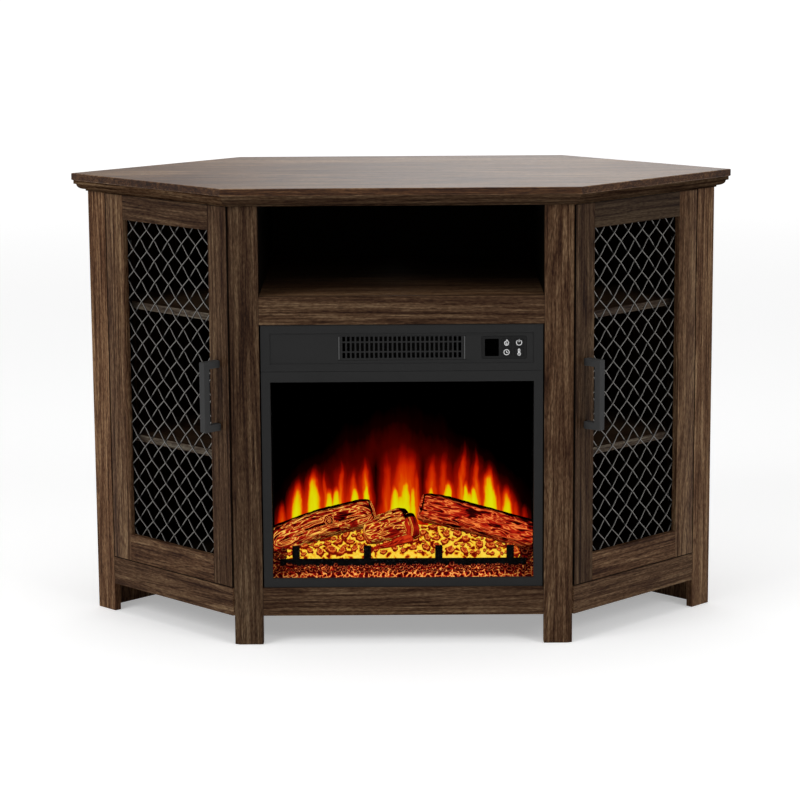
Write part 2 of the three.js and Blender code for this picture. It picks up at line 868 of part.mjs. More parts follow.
function heatingElement() {
  const front = trimDepth + heaterBack;
  const back = front + heaterThickness;
  const half = heaterWidth / 2;
  const low = outletCentreZ - heaterHeight / 2;
  const core = block(-half, half, front, back, low, low + heaterHeight);
  const foot = dividerTop + seam;
  const left = block(-half, heaterFoot - half, front, back, foot, low + heaterFoot);
  const right = block(half - heaterFoot, half, front, back, foot, low + heaterFoot);
  return join(core, left, right);
}

// The sleeve that the mains lead would leave by, in the rear wall of the casing.
function powerInlet() {
  const inner = casingDepth - 2 * sheet;
  const seat = casingDepth + seam;
  const outer = seat + glandFlange;
  const profile = [
    [glandBore, inner],
    [glandNeck, inner],
    [glandNeck, seat],
    [glandRadius, seat],
    [glandRadius, outer],
    [glandBore, outer],
    [glandBore, inner],
  ];
  const points = profile.map(([radius, y]) => new THREE.Vector2(radius, y));
  return new THREE.LatheGeometry(points, 20).translate(glandInset - casingHalf, 0, glandRise);
}

// Assembly
function piece(parent, name, geometry, finish) {
  const mesh = new THREE.Mesh(geometry, new THREE.MeshStandardMaterial(finish));
  mesh.name = name;
  parent.add(mesh);
}

const stand = new THREE.Group();
const cabinet = new THREE.Group();
cabinet.position.y = -middleDepth;
stand.add(cabinet);

piece(cabinet, "top_board", topBoard(), walnutTop);
piece(cabinet, "crown_moulding_front", frontCrown(), walnut);
piece(cabinet, "bottom_board", bottomBoard(), walnut);
piece(cabinet, "back_panel", backPanel(), hardboard);
piece(cabinet, "media_shelf", mediaShelf(), walnut);
piece(cabinet, "shelf_rail", bayRail(shelfRailBottom, shelfTop), walnut);
piece(cabinet, "base_rail_front", bayRail(floorGap, deckTop), walnut);

for (const [hand, mirror] of [["right", 1], ["left", -1]]) {
  const side = new THREE.Group();
  side.scale.x = mirror;
  cabinet.add(side);
  piece(side, `crown_moulding_${hand}`, sideCrown(), walnut);
  piece(side, `front_leg_${hand}`, frontLeg(), walnut);
  piece(side, `partition_${hand}`, partition(), walnut);
  piece(side, `lower_shelf_${hand}`, sideShelf(lowerShelfTop), walnut);
  piece(side, `upper_shelf_${hand}`, sideShelf(upperShelfTop), walnut);

  const face = new THREE.Group();
  face.position.x = halfFront;
  face.rotation.z = cornerTurn;
  side.add(face);
  piece(face, `rear_leg_${hand}`, rearLeg(), walnut);
  piece(face, `side_panel_${hand}`, sidePanel(), walnut);
  piece(face, `base_rail_${hand}`, sideBaseRail(), walnut);
  piece(face, `lock_stile_${hand}`, lockStile(), walnut);
  piece(face, `hinge_stile_${hand}`, hingeStile(), walnut);
  piece(face, `door_top_rail_${hand}`, doorRail(windowHigh, doorTop), walnut);
  piece(face, `door_bottom_rail_${hand}`, doorRail(doorBottom, windowLow), walnut);
  piece(face, `wire_mesh_${hand}`, wireMesh(), wire);
  piece(face, `door_handle_${hand}`, doorHandle(), handleMetal);
  for (const [level, height] of Object.entries(hingeHeights)) {
    piece(face, `${level}_hinge_cup_${hand}`, hingeCup(height), nickel);
    piece(face, `${level}_hinge_arm_${hand}`, hingeArm(height), nickel);
  }
}

const insert = new THREE.Group();
insert.position.set(0, insertRecess, insertBottom);
cabinet.add(insert);
piece(insert, "trim_frame", trimFrame(), charcoal);
piece(insert, "outlet_grille", outletGrille(), charcoal);
piece(insert, "control_plate", controlPlate(), blackPlastic);
for (const [name, [x, z]] of Object.entries(keyPlaces())) {
  piece(insert, name, keyCap(x, z), blackPlastic);
}
piece(insert, "glass_panel", glassPanel(), clearGlass);
piece(insert, "casing", casing(), blackSheet);
piece(insert, "flame_screen", flameScreen(), blackPlastic);
piece(insert, "log_set", logSet(), barkResin);
piece(insert, "ember_bed", emberBed(), emberResin);
piece(insert, "fire_grate", fireGrate(), blackPlastic);
piece(insert, "flame_rotor", flameRotor(), foil);
piece(insert, "blower_wheel", blowerWheel(), blackPlastic);
piece(insert, "heating_element", heatingElement(), nickel);
piece(insert, "power_inlet", powerInlet(), blackPlastic);

export default stand;
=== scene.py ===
"""Looks of the fireplace television stand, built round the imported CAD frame.

The frame is in metres, +Z up, with the front of the stand towards -Y. Sizes that end in _MM are in
millimetres. Points inside the fireplace insert are in millimetres from the lower edge of its trim:
x from the middle, y inwards from the trim's face, z up.
"""

import math
import random

import bmesh
import bpy
from mathutils import Matrix, Vector, noise


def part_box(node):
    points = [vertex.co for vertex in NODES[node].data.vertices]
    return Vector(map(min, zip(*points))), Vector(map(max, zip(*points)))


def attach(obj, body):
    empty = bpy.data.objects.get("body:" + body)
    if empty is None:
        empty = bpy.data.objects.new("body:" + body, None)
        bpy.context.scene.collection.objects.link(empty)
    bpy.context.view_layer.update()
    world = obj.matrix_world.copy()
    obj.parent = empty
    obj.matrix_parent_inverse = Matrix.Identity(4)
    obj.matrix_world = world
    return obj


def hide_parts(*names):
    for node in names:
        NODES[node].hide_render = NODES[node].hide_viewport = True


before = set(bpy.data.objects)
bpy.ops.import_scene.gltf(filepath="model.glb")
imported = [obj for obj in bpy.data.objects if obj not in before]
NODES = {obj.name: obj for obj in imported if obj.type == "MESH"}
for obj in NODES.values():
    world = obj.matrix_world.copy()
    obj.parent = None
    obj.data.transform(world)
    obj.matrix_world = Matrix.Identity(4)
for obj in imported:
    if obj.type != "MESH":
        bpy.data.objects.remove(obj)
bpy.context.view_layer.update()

MM = 0.001
TURN = math.radians(45)
HALF = math.sqrt(0.5)
HANDS = {"left": -1, "right": 1}

for name in ("Cube", "Light", "Camera"):
    if name in bpy.data.objects:
        bpy.data.objects.remove(bpy.data.objects[name])
bpy.context.scene.view_settings.view_transform = "Standard"

# Sizes that repeat the CAD source, in metres
MIDDLE = 249.05 * MM
HALF_FRONT = 281.2 * MM
WINDOW = (48.4 * MM, 266.5 * MM, 144 * MM, 688.73 * MM)
INSERT_FRONT = 2.5 * MM - MIDDLE
INSERT_LOW = 96.8 * MM
DOOR_PLANE = HALF * (HALF_FRONT + MIDDLE)

# Painted shade on faces inside the cupboard and in the gaps round the doors: from this height on, and in gaps
# for so far behind a door's face
PAINTED_SHADE_FROM, PAINTED_SHADE_BLEND, PAINTED_SHADE_TONE = 60 * MM, 1 * MM, 0.1
STRIP_DEEP = 4.5 * MM
BAY_DEEP = 500 * MM
WELD_REACH = 0.01 * MM


# Mesh helpers
def in_scene(name, data):
    made = bpy.data.objects.new(name, data)
    bpy.context.scene.collection.objects.link(made)
    return made


def add_object(name, mesh, body, materials, replaced=()):
    """A finished piece: it gets its materials, rides on its body and may stand for CAD nodes."""
    piece = in_scene(name, mesh)
    for material in materials:
        mesh.materials.append(material)
    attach(piece, body)
    if replaced:
        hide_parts(*replaced)
    return piece


def mesh_from(name, points, faces, smooth=False):
    mesh = bpy.data.meshes.new(name)
    mesh.from_pydata([tuple(p) for p in points], [], faces)
    mesh.validate()
    mesh.update()
    if smooth:
        mesh.polygons.foreach_set("use_smooth", [True] * len(mesh.polygons))
    return mesh


def paint(mesh, layer, values):
    """Keeps a colour or a vector for each point, for the material to read."""
    data = mesh.color_attributes.new(layer, "FLOAT_COLOR", "POINT").data
    data.foreach_set("color", [number for value in values for number in value])


def sharpen(piece, angle):
    """Marks the edges that turn by more than an angle as sharp, so that the rest shades smoothly."""
    build = bmesh.new()
    build.from_mesh(piece.data)
    for edge in build.edges:
        edge.smooth = len(edge.link_faces) == 2 and edge.calc_face_angle(0) < math.radians(angle)
    build.to_mesh(piece.data)
    build.free()


def outward(mesh):
    """Turns every face of a closed mesh outwards."""
    build = bmesh.new()
    build.from_mesh(mesh)
    bmesh.ops.recalc_face_normals(build, faces=build.faces)
    build.to_mesh(mesh)
    build.free()


def soften_edges(node, width, segments=2, angle=30):
    """Small round edges on a CAD piece, made with modifiers, so that its own mesh stays as imported."""
    piece = NODES[node]
    weld = piece.modifiers.new("weld", "WELD")
    weld.merge_threshold = WELD_REACH
    bevel = piece.modifiers.new("bevel", "BEVEL")
    bevel.width = width
    bevel.segments = segments
    bevel.limit_method = "ANGLE"
    bevel.angle_limit = math.radians(angle)


def dress(node, material, ease_mm=0.0, segments=2):
    """Gives a CAD piece its material and, where asked, round edges of so many millimetres."""
    NODES[node].data.materials[0] = material
    if ease_mm:
        soften_edges(node, ease_mm * MM, segments)


def on_face(hand, along, inwards, height):
    """A point in the frame from its place on a door face: along it, inwards from it and up."""
    x = HALF_FRONT + HALF * (along - inwards)
    y = HALF * (along + inwards) - MIDDLE
    return Vector((hand * x, y, height))


def in_insert(x, y, z):
    return Vector((x * MM, y * MM + INSERT_FRONT, z * MM + INSERT_LOW))


def merge(parts):
    """Joins parts, each a tuple of points, faces and lists of values per point."""
    points, faces, *layers = [list(column) for column in parts[0]]
    for part in parts[1:]:
        base = len(points)
        points.extend(part[0])
        faces.extend(tuple(base + index for index in face) for face in part[1])
        for layer, values in zip(layers, part[2:]):
            layer.extend(values)
    return (points, faces, *layers)


def skin(rows, around, ring=False):
    """Faces over rows of points that stand round a path. The path has two ends, with caps, or is a ring."""
    faces = []
    count = rows * around
    for row in range(rows if ring else rows - 1):
        for step in range(around):
            a = row * around + step
            b = row * around + (step + 1) % around
            faces.append((a, b, (b + around) % count, (a + around) % count))
    if not ring:
        faces += [tuple(reversed(range(around))), tuple(range(count - around, count))]
    return faces


def tube(path, radius, sides):
    """Points and faces of a round bar along a path, and each point's direction from the path."""
    points, ways = [], []
    count = len(path)
    normal = None
    for index, place in enumerate(path):
        ahead = (path[min(index + 1, count - 1)] - path[max(index - 1, 0)]).normalized()
        if normal is None:
            normal = ahead.orthogonal().normalized()
        normal = (normal - ahead * normal.dot(ahead)).normalized()
        side = ahead.cross(normal)
        for step in range(sides):
            angle = 2 * math.pi * step / sides
            way = math.cos(angle) * normal + math.sin(angle) * side
            points.append(place + radius * way)
            ways.append(way)
    return points, skin(count, sides), ways


# Node helpers
class Shade:
    """The node tree of a material or of the world, built in a few short calls."""

    def __init__(self, name, world=None):
        self.material = world or bpy.data.materials.new(name)
        self.material.use_nodes = True
        self.tree = self.material.node_tree
        self.tree.nodes.clear()
        self.out = self.tree.nodes.new("ShaderNodeOutput" + ("World" if world else "Material"))

    def node(self, kind, inputs=None, **settings):
        made = self.tree.nodes.new("ShaderNode" + kind)
        for key, value in settings.items():
            setattr(made, key, value)
        for key, value in (inputs or {}).items():
            self.put(made.inputs[key], value)
        return made

    def put(self, socket, value):
        if isinstance(value, bpy.types.NodeSocket):
            self.tree.links.new(value, socket)
        elif isinstance(value, bpy.types.Node):
            self.tree.links.new(value.outputs[0], socket)
        else:
            socket.default_value = value

    def math(self, operation, first, second=0.0, third=0.0, clamp=False):
        inputs = {0: first, 1: second, 2: third}
        return self.node("Math", inputs, operation=operation, use_clamp=clamp).outputs[0]

    def vector(self, operation, first, second=(0, 0, 0)):
        return self.node("VectorMath", {0: first, 1: second}, operation=operation).outputs

    def scaled(self, value, factor, offset=0.0, clamp=False):
        return self.math("MULTIPLY_ADD", value, factor, offset, clamp)

    def times(self, first, second):
        return self.math("MULTIPLY", first, second)

    def centred(self, value):
        return self.math("SUBTRACT", value, 0.5)

    def mix(self, share, first, second, blend="MIX"):
        made = self.node("Mix", data_type="RGBA", blend_type=blend)
        self.put(made.inputs[0], share)
        self.put(made.inputs[6], first)
        self.put(made.inputs[7], second)
        return made.outputs[2]

    def dimmed(self, share, colour):
        """A share of a colour, on black."""
        return self.mix(share, (0, 0, 0, 1), colour)

    def stops(self, value, stops, interpolation):
        made = self.node("ValToRGB", {"Fac": value})
        ramp = made.color_ramp
        ramp.interpolation = interpolation
        while len(ramp.elements) < len(stops):
            ramp.elements.new(0.5)
        for element, (place, colour) in zip(ramp.elements, stops):
            element.position = place
            element.color = colour
        return made.outputs[0]

    def ramp(self, value, colours):
        """Colours along a value, each written as it shows on a screen."""
        return self.stops(value, [(place, srgb(*colour)) for place, colour in colours], "LINEAR")

    def curve(self, value, levels, interpolation="LINEAR"):
        """Levels along a value."""
        stops = [(place, (level, level, level, 1)) for place, level in levels]
        return self.stops(value, stops, interpolation)

    def noise(self, vector, scale=1.0, detail=2.0, roughness=0.5, distortion=0.0):
        """Noise with one scale, or with a scale for each axis."""
        if isinstance(scale, tuple):
            vector = self.node("Mapping", {"Vector": vector, "Scale": scale})
            scale = 1.0
        inputs = {
            "Vector": vector, "Scale": scale, "Detail": detail,
            "Roughness": roughness, "Distortion": distortion,
        }
        return self.node("TexNoise", inputs).outputs[0]

    def bump(self, height, strength, distance):
        inputs = {"Height": height, "Strength": strength, "Distance": distance}
        return self.node("Bump", inputs).outputs[0]

    def place(self):
        return self.node("TexCoord").outputs["Object"]

    def split(self, vector):
        return self.node("SeparateXYZ", {0: vector}).outputs

    def painted(self, layer):
        return self.node("Attribute", attribute_name=layer).outputs

    def surface(self, **inputs):
        names = {key: key.replace("_", " ").title() for key in inputs}
        names["specular"] = "Specular IOR Level"
        shader = self.node("BsdfPrincipled", {names[key]: value for key, value in inputs.items()})
        self.put(self.out.inputs[0], shader)
        return self.material


def srgb(red, green, blue):
    """A colour written as it shows on a screen, 0 to 255, turned to linear light."""
    def linear(level):
        level = max(level, 0) / 255
        return level / 12.92 if level <= 0.04045 else ((level + 0.055) / 1.055) ** 2.4
    return (linear(red), linear(green), linear(blue), 1.0)


# Wood laminate
WALNUT_COLOURS = [
    (0.12, (44, 25, 15)), (0.34, (75, 50, 33)), (0.52, (97, 70, 49)),
    (0.72, (123, 95, 69)), (0.92, (154, 125, 94)),
]
PORE_COLOUR = (38, 22, 13)
GRAIN_SHIFT = 17.0
RINGS_PER_METRE, FIGURE_SWING, SWAY_SWING = 60.0, 22.0, 2.2
BAND_LEVELS = [(0.0, 0.0), (0.14, 0.35), (0.55, 0.6), (0.88, 0.85), (1.0, 0.25)]
BAND_WEIGHT, GRAIN_LEVEL = 0.36, -1.675
# Each layer of the grain: its noise's scale across and along the board, detail, roughness and weight
GRAIN_LAYERS = {
    "fibre": (430, 15, 4.0, 0.72, 0.95), "speck": (480, 120, 2.0, 0.6, 0.75),
    "streak": (150, 3.5, 3.0, 0.65, 1.0), "line": (300, 6, 2.0, 0.6, 0.75), "patch": (9, 2.2, 1.0, 0.5, 0.55),
}
DARK_RANGE = 0.2
# The slant towards the shaded direction from which a face gets painted shade, with its eased edge or without
# it
DARK_EASED, DARK_FLAT = 0.2, 0.5


def walnut(
    name, along, turn=0.0, tone=1.0, edge=None, shade_way=None, dark_from=DARK_EASED, strip=False,
    specular=0.04, rough=0.5, relief=0.25, ripple=0.0, bay_shade=None,
):
    """Dark laminate with wavy figure, streaks, fibres and pore ticks along one axis.

    The grain runs along x, along z, or along x on boards that lie flat. An edge colour is multiplied
    into the upright sides of a flat board; on the shelves it lightens them as a painted highlight.
    Faces that slant towards a given direction get painted shade: they lie inside a cupboard or in the
    gap round a door. In a gap only a strip behind the door's face is dark. A fade paints shade on a
    board, darker towards the back of the bay.
    """
    s = Shade(name)
    turned = s.node("Mapping", {"Vector": s.place(), "Rotation": (0, 0, -turn)}).outputs[0]
    axes = s.split(turned)
    order = {"x": (2, 1, 0), "z": (0, 1, 2), "flat": (1, 2, 0)}[along]
    shift = s.times(s.node("ObjectInfo").outputs["Random"], GRAIN_SHIFT)
    across, depth, length = (s.math("ADD", axes[index], shift) for index in order)
    grain = s.node("CombineXYZ", {0: across, 1: depth, 2: length}).outputs[0]

    figure = s.noise(grain, (16, 16, 1.1), 2.0, 0.45)
    rings = s.scaled(figure, FIGURE_SWING, s.times(across, RINGS_PER_METRE))
    rings = s.scaled(s.noise(grain, (14, 14, 4)), SWAY_SWING, rings)
    bands = s.curve(s.math("PINGPONG", rings, 1.0), BAND_LEVELS, "EASE")
    level = s.scaled(bands, BAND_WEIGHT, GRAIN_LEVEL)
    layers = {}
    for layer, (wide, long, detail, roughness, weight) in GRAIN_LAYERS.items():
        layers[layer] = s.noise(grain, (wide, wide, long), detail, roughness)
        level = s.scaled(layers[layer], weight, level)
    ticks = s.curve(s.noise(grain, (620, 620, 60), 1.0), [(0.56, 0.0), (0.68, 1.0)])
    colour = s.ramp(level, [(place, [tone * part for part in shown]) for place, shown in WALNUT_COLOURS])
    colour = s.mix(s.times(ticks, 0.5), colour, srgb(*(tone * part for part in PORE_COLOUR)))

    normal = s.node("NewGeometry").outputs["Normal"]
    if edge is not None:
        upright = s.curve(s.math("ABSOLUTE", s.split(normal)[2]), [(0.3, 1.0), (0.6, 0.0)])
        colour = s.mix(upright, colour, s.mix(1.0, colour, (*edge, 1), "MULTIPLY"))
    # Painted shade: faces that turn towards the given direction, inside the cupboard or in a door's gap, are
    # darkened
    if shade_way is not None:
        towards = s.vector("DOT_PRODUCT", normal, shade_way)["Value"]
        above = s.curve(axes[2], [(PAINTED_SHADE_FROM - PAINTED_SHADE_BLEND, 0.0), (PAINTED_SHADE_FROM, 1.0)])
        share = s.times(s.curve(towards, [(dark_from, 0.0), (dark_from + DARK_RANGE, 1.0)]), above)
        if strip:
            deep = s.scaled(axes[1], 1 / STRIP_DEEP, DOOR_PLANE / STRIP_DEEP)
            share = s.times(share, s.curve(deep, [(0.8, 1.0), (1.0, 0.0)]))
        colour = s.mix(share, colour, s.dimmed(PAINTED_SHADE_TONE, colour))
    # Painted shade: the board darkens towards the back of the bay
    if bay_shade is not None:
        inwards = s.scaled(axes[1], 1 / BAY_DEEP, MIDDLE / BAY_DEEP)
        colour = s.dimmed(s.curve(inwards, bay_shade), colour)
    gloss = s.scaled(layers["fibre"], 0.2, rough - 0.1)
    height = s.math("SUBTRACT", s.times(layers["fibre"], 0.7), s.times(ticks, 0.5))
    height = s.scaled(layers["streak"], ripple, height)
    return s.surface(
        base_color=colour, roughness=gloss, specular=specular,
        normal=s.bump(height, relief, 0.25 * MM),
    )


def hardboard(name):
    """Thin back board: bare pressed fibre outside, and inside the same fibre darkened almost to black as
    painted shade.
    """
    s = Shade(name)
    place = s.place()
    speck = s.noise(place, (700, 700, 700), 4.0, 0.75)
    strand = s.noise(place, (60, 60, 300), 3.0, 0.6, 1.5)
    cloud = s.noise(place, 6.0, 3.0)
    level = s.scaled(speck, 0.9, s.scaled(strand, 0.5, s.times(cloud, 0.5)))
    colour = s.ramp(s.math("SUBTRACT", level, 0.45), [
        (0.2, (82, 60, 41)), (0.5, (124, 96, 68)), (0.8, (158, 128, 94)),
    ])
    outside = s.curve(s.split(s.node("NewGeometry").outputs["Normal"])[1], [(0.4, 0.0), (0.6, 1.0)])
    # Painted shade: the inner face is darkened almost to black
    colour = s.mix(outside, s.dimmed(0.02, colour), colour)
    return s.surface(
        base_color=colour, roughness=s.scaled(speck, 0.2, 0.65), specular=0.03,
        normal=s.bump(level, 0.3, 0.3 * MM),
    )


# Tone of each board, left and right, so that neighbours differ as the photographed ones do
# These tones also paint light and shade: the top rails under the crown and the lock stiles are darker, the
# rear legs lighter
DOOR_TONES_AND_SHADE = {
    "rear_leg": (1.1, 0.95), "side_panel": (1.0, 1.0), "hinge_stile": (0.91, 0.87),
    "lock_stile": (0.75, 0.64), "door_top_rail": (0.73, 0.47), "door_bottom_rail": (0.93, 0.9),
    "base_rail": (0.86, 0.8),
}
# The low tones of the partitions and the bottom board are painted shade of the dark bay and the door gaps
FRONT_TONES_AND_SHADE = {
    "shelf_rail": ("x", 0.74), "base_rail_front": ("x", 0.75), "bottom_board": ("flat", 0.3),
    "partition_left": ("z", 0.12), "partition_right": ("z", 0.12),
}
LEG_TONES = (0.68, 0.82)
# The shelves' edge colour lightens their upright edges as a painted highlight
SHELF_TONE, SHELF_EDGE_HIGHLIGHT = 0.57, (2.1, 2.85, 3.8)
TOP_TONE, TOP_EDGE = 0.98, (0.38, 0.29, 0.22)
# Painted shade on the media shelf, by depth into the bay
MEDIA_BAY_SHADE = [(0.03, 0.97), (0.12, 0.62), (0.22, 0.4), (0.5, 0.15)]


def finish_boards():
    for node, (along, tone) in FRONT_TONES_AND_SHADE.items():
        dress(node, walnut("wood_" + node, along, tone=tone))
    for side, (hand, sign) in enumerate(HANDS.items()):
        inwards = (-sign * HALF, -HALF, 0)
        outwards = (sign * HALF, HALF, 0)
        # Where each board gets painted shade: into the cupboard, or into the gap round its door
        shade_way = {
            "rear_leg": inwards, "side_panel": inwards, "lock_stile": inwards, "hinge_stile": outwards,
            "base_rail": (0, 0, 1), "door_bottom_rail": (0, 0, -1), "door_top_rail": (0, 0, 1),
        }
        for board, tones in DOOR_TONES_AND_SHADE.items():
            node = f"{board}_{hand}"
            dress(node, walnut(
                "wood_" + node, "x" if "rail" in board else "z", sign * TURN, tones[side],
                shade_way=shade_way[board], dark_from=DARK_FLAT if board == "lock_stile" else DARK_EASED,
                strip=board not in ("rear_leg", "side_panel"),
            ))
        for board in ("lower_shelf", "upper_shelf"):
            node = f"{board}_{hand}"
            dress(node, walnut("wood_" + node, "flat", sign * TURN, SHELF_TONE, SHELF_EDGE_HIGHLIGHT))
        node = "front_leg_" + hand
        dress(node, walnut("wood_" + node, "z", tone=LEG_TONES[side], shade_way=outwards, dark_from=DARK_FLAT))
    dress("media_shelf", walnut("wood_media_shelf", "flat", specular=0.02, rough=0.7, bay_shade=MEDIA_BAY_SHADE))
    dress("top_board", walnut(
        "wood_top", "flat", 0.0, TOP_TONE, TOP_EDGE, specular=0.12, rough=0.36, relief=0.6, ripple=0.7,
    ))
    dress("back_panel", hardboard("back_hardboard"))


# Crown moulding
CROWN_TOP = 750 * MM
CROWN_OVERHANG_MM = 21.9
CROWN_HALF_FRONT_MM = HALF_FRONT / MM
CROWN_WALL_MM, CROWN_BACK_MM = 374.5, 500.5
CROWN_INSET_MM, CROWN_FILLET_MM, CROWN_LEDGE_MM = 2.4, 6.4, (3.4, 1.0)
CROWN_ROUND_MM, CROWN_TOE_MM, CROWN_LOW_MM = (10.1, 8.0), 1.0, 18.3
CROWN_BACKING_MM = 15.0
CROWN_EASE_MM, CROWN_GAP_MM, CROWN_MITRE_MM = 0.5, 0.3, 0.15
CROWN_FRONT_TONE, CROWN_SIDE_TONES, CROWN_SHARP = 0.62, (0.74, 0.54), 40


def crown_profile(steps=12):
    """Inset from the board's edge and height under the board, in millimetres, of the moulding's outline."""
    top, ease = -CROWN_GAP_MM, CROWN_EASE_MM
    ledge_end = CROWN_INSET_MM + CROWN_LEDGE_MM[0]
    round_top = -CROWN_FILLET_MM - CROWN_LEDGE_MM[1]
    round_low = round_top - CROWN_ROUND_MM[1]
    outline = [
        (CROWN_INSET_MM, top), (CROWN_INSET_MM, ease - CROWN_FILLET_MM),
        (CROWN_INSET_MM + ease, -CROWN_FILLET_MM), (ledge_end - ease, -CROWN_FILLET_MM),
    ]
    for step in range(steps + 1):
        angle = step / steps * math.pi / 2
        inset = ledge_end + CROWN_ROUND_MM[0] * (1 - math.cos(angle))
        outline.append((inset, round_top - CROWN_ROUND_MM[1] * math.sin(angle)))
    toe = ledge_end + CROWN_ROUND_MM[0] + CROWN_TOE_MM
    rear = CROWN_OVERHANG_MM + CROWN_BACKING_MM
    outline += [(toe, round_low), (toe, ease - CROWN_LOW_MM), (toe + ease, -CROWN_LOW_MM)]
    outline += [(rear, -CROWN_LOW_MM), (rear, top)]
    return outline


def crown_corner(kind, inset):
    """Plan of the moulding's line at an inset from the board's edge, on the right, in millimetres."""
    out = CROWN_OVERHANG_MM - inset
    door_line = CROWN_HALF_FRONT_MM + out * math.sqrt(2)
    wall_line = CROWN_HALF_FRONT_MM + (CROWN_WALL_MM - inset) * math.sqrt(2)
    if kind == "front":
        return door_line - out, -out
    if kind == "tip":
        return (wall_line + door_line) / 2, (wall_line - door_line) / 2
    return wall_line - CROWN_BACK_MM, CROWN_BACK_MM


def crown_run(name, node, stations, material):
    profile = crown_profile()
    count = len(profile)
    points = []
    for kind, sign, nudge in stations:
        for inset, height in profile:
            x, y = crown_corner(kind, inset)
            y += max(nudge, 0)
            points.append(Vector((sign * (x + nudge) * MM, y * MM - MIDDLE, CROWN_TOP + height * MM)))
    mesh = mesh_from(name, points, skin(len(stations), count), smooth=True)
    outward(mesh)
    sharpen(add_object(name, mesh, "stand", [material], (node,)), CROWN_SHARP)


def crown():
    ends = [("front", sign, -CROWN_MITRE_MM) for sign in HANDS.values()]
    front = walnut("wood_crown_front", "x", tone=CROWN_FRONT_TONE, specular=0.02)
    crown_run("crown_front", "crown_moulding_front", ends, front)
    for (hand, sign), tone in zip(HANDS.items(), CROWN_SIDE_TONES):
        side = walnut("wood_crown_" + hand, "x", sign * TURN, tone, specular=0.0)
        stations = [("front", sign, CROWN_MITRE_MM), ("tip", sign, 0), ("back", sign, 0)]
        crown_run("crown_" + hand, "crown_moulding_" + hand, stations, side)


# Woven wire mesh
WIRE_RADIUS = 1.05 * MM
WIRE_CRIMP = 1.1 * MM
WIRE_PITCH = 25.3 * MM
WIRE_PLANE = 12.45 * MM
WIRE_NODE = (75 * MM, 639.4 * MM)
WIRE_LAP = 4 * MM
WIRE_STEPS = 12
WIRE_SIDES = 8
WIRE_COUNT = 40
WIRE_SHARP = 60
# Painted shade on the wires: the level of their lit side and of their shaded side, how sharply the two part,
# and the length and tone of the painted shadow above each under-crossing
WIRE_LIGHT, WIRE_DARK, WIRE_CONTRAST = 1.0, 0.14, 1.4
WIRE_SHADE_LONG, WIRE_SHADE_TONE = 7.5 * MM, 0.1


def wire_runs():
    """Every wire: a point of it, its lean and the range of its length inside the window."""
    left, right, low, high = WINDOW
    left, right, low, high = left - WIRE_LAP, right + WIRE_LAP, low - WIRE_LAP, high + WIRE_LAP
    step = WIRE_PITCH * math.sqrt(2)
    for lean in (1, -1):
        for index in range(-WIRE_COUNT, WIRE_COUNT + 1):
            along, height = WIRE_NODE[0], WIRE_NODE[1] + index * step
            ends = sorted(((low - height) / (HALF * lean), (high - height) / (HALF * lean)))
            first = max((left - along) / HALF, ends[0])
            last = min((right - along) / HALF, ends[1])
            if last - first > WIRE_LAP:
                yield along, height, lean, first, last


def wire_mesh(hand, sign):
    """Crimped wires that pass over and under each other, with painted shade on the side of each wire towards
    the front leg and the cupboard, and a painted shadow just above each place where a downward wire passes
    under.
    """
    parts = []
    origin = on_face(sign, 0, 0, 0)
    for along, height, lean, first, last in wire_runs():
        steps = max(2, round((last - first) / WIRE_PITCH * WIRE_STEPS))
        path = []
        for step in range(steps + 1):
            travel = first + (last - first) * step / steps
            inwards = WIRE_PLANE - lean * WIRE_CRIMP * math.cos(math.pi * travel / WIRE_PITCH)
            path.append(on_face(sign, along + HALF * travel, inwards, height + HALF * lean * travel))
        points, faces, ways = tube(path, WIRE_RADIUS, WIRE_SIDES)
        # Painted shade: each wire is darker on its side towards the front leg and the cupboard, and up or
        # down with its lean
        shadow = (on_face(sign, -1, 1, lean) - origin).normalized()
        shades = []
        for index, way in enumerate(ways):
            share = min(1.0, max(0.0, 0.5 - WIRE_CONTRAST * way.dot(shadow)))
            level = WIRE_DARK + (WIRE_LIGHT - WIRE_DARK) * share
            travel = first + (last - first) * (index // WIRE_SIDES) / steps
            before = -travel % (2 * WIRE_PITCH)
            # Painted shadow just above each place where a downward wire passes under
            if lean < 0 and before < WIRE_SHADE_LONG:
                level *= WIRE_SHADE_TONE
            shades.append((level, level, level, 1))
        parts.append((points, faces, shades))
    points, faces, shades = merge(parts)
    name = "wire_net_" + hand
    mesh = mesh_from(name, points, faces, smooth=True)
    paint(mesh, "shade", shades)
    piece = add_object(name, mesh, "door_" + hand, [wire_paint()], ("wire_mesh_" + hand,))
    sharpen(piece, WIRE_SHARP)
    binding(hand, sign)


def wire_paint():
    s = Shade("wire_grey")
    peel = s.noise(s.place(), 700, 3.0, 0.6)
    tone = s.scaled(peel, 0.5, 0.75)
    colour = s.mix(1.0, s.painted("shade")["Color"], srgb(134, 131, 127), "MULTIPLY")
    colour = s.dimmed(tone, colour)
    return s.surface(
        base_color=colour, roughness=s.scaled(peel, 0.2, 0.38), specular=0.2,
        normal=s.bump(peel, 0.1, 0.2 * MM),
    )


BINDING_LAP, BINDING_FRONT, BINDING_BACK = 6.2 * MM, 15.6 * MM, 16.6 * MM
BINDING_REVEAL = 0.5 * MM


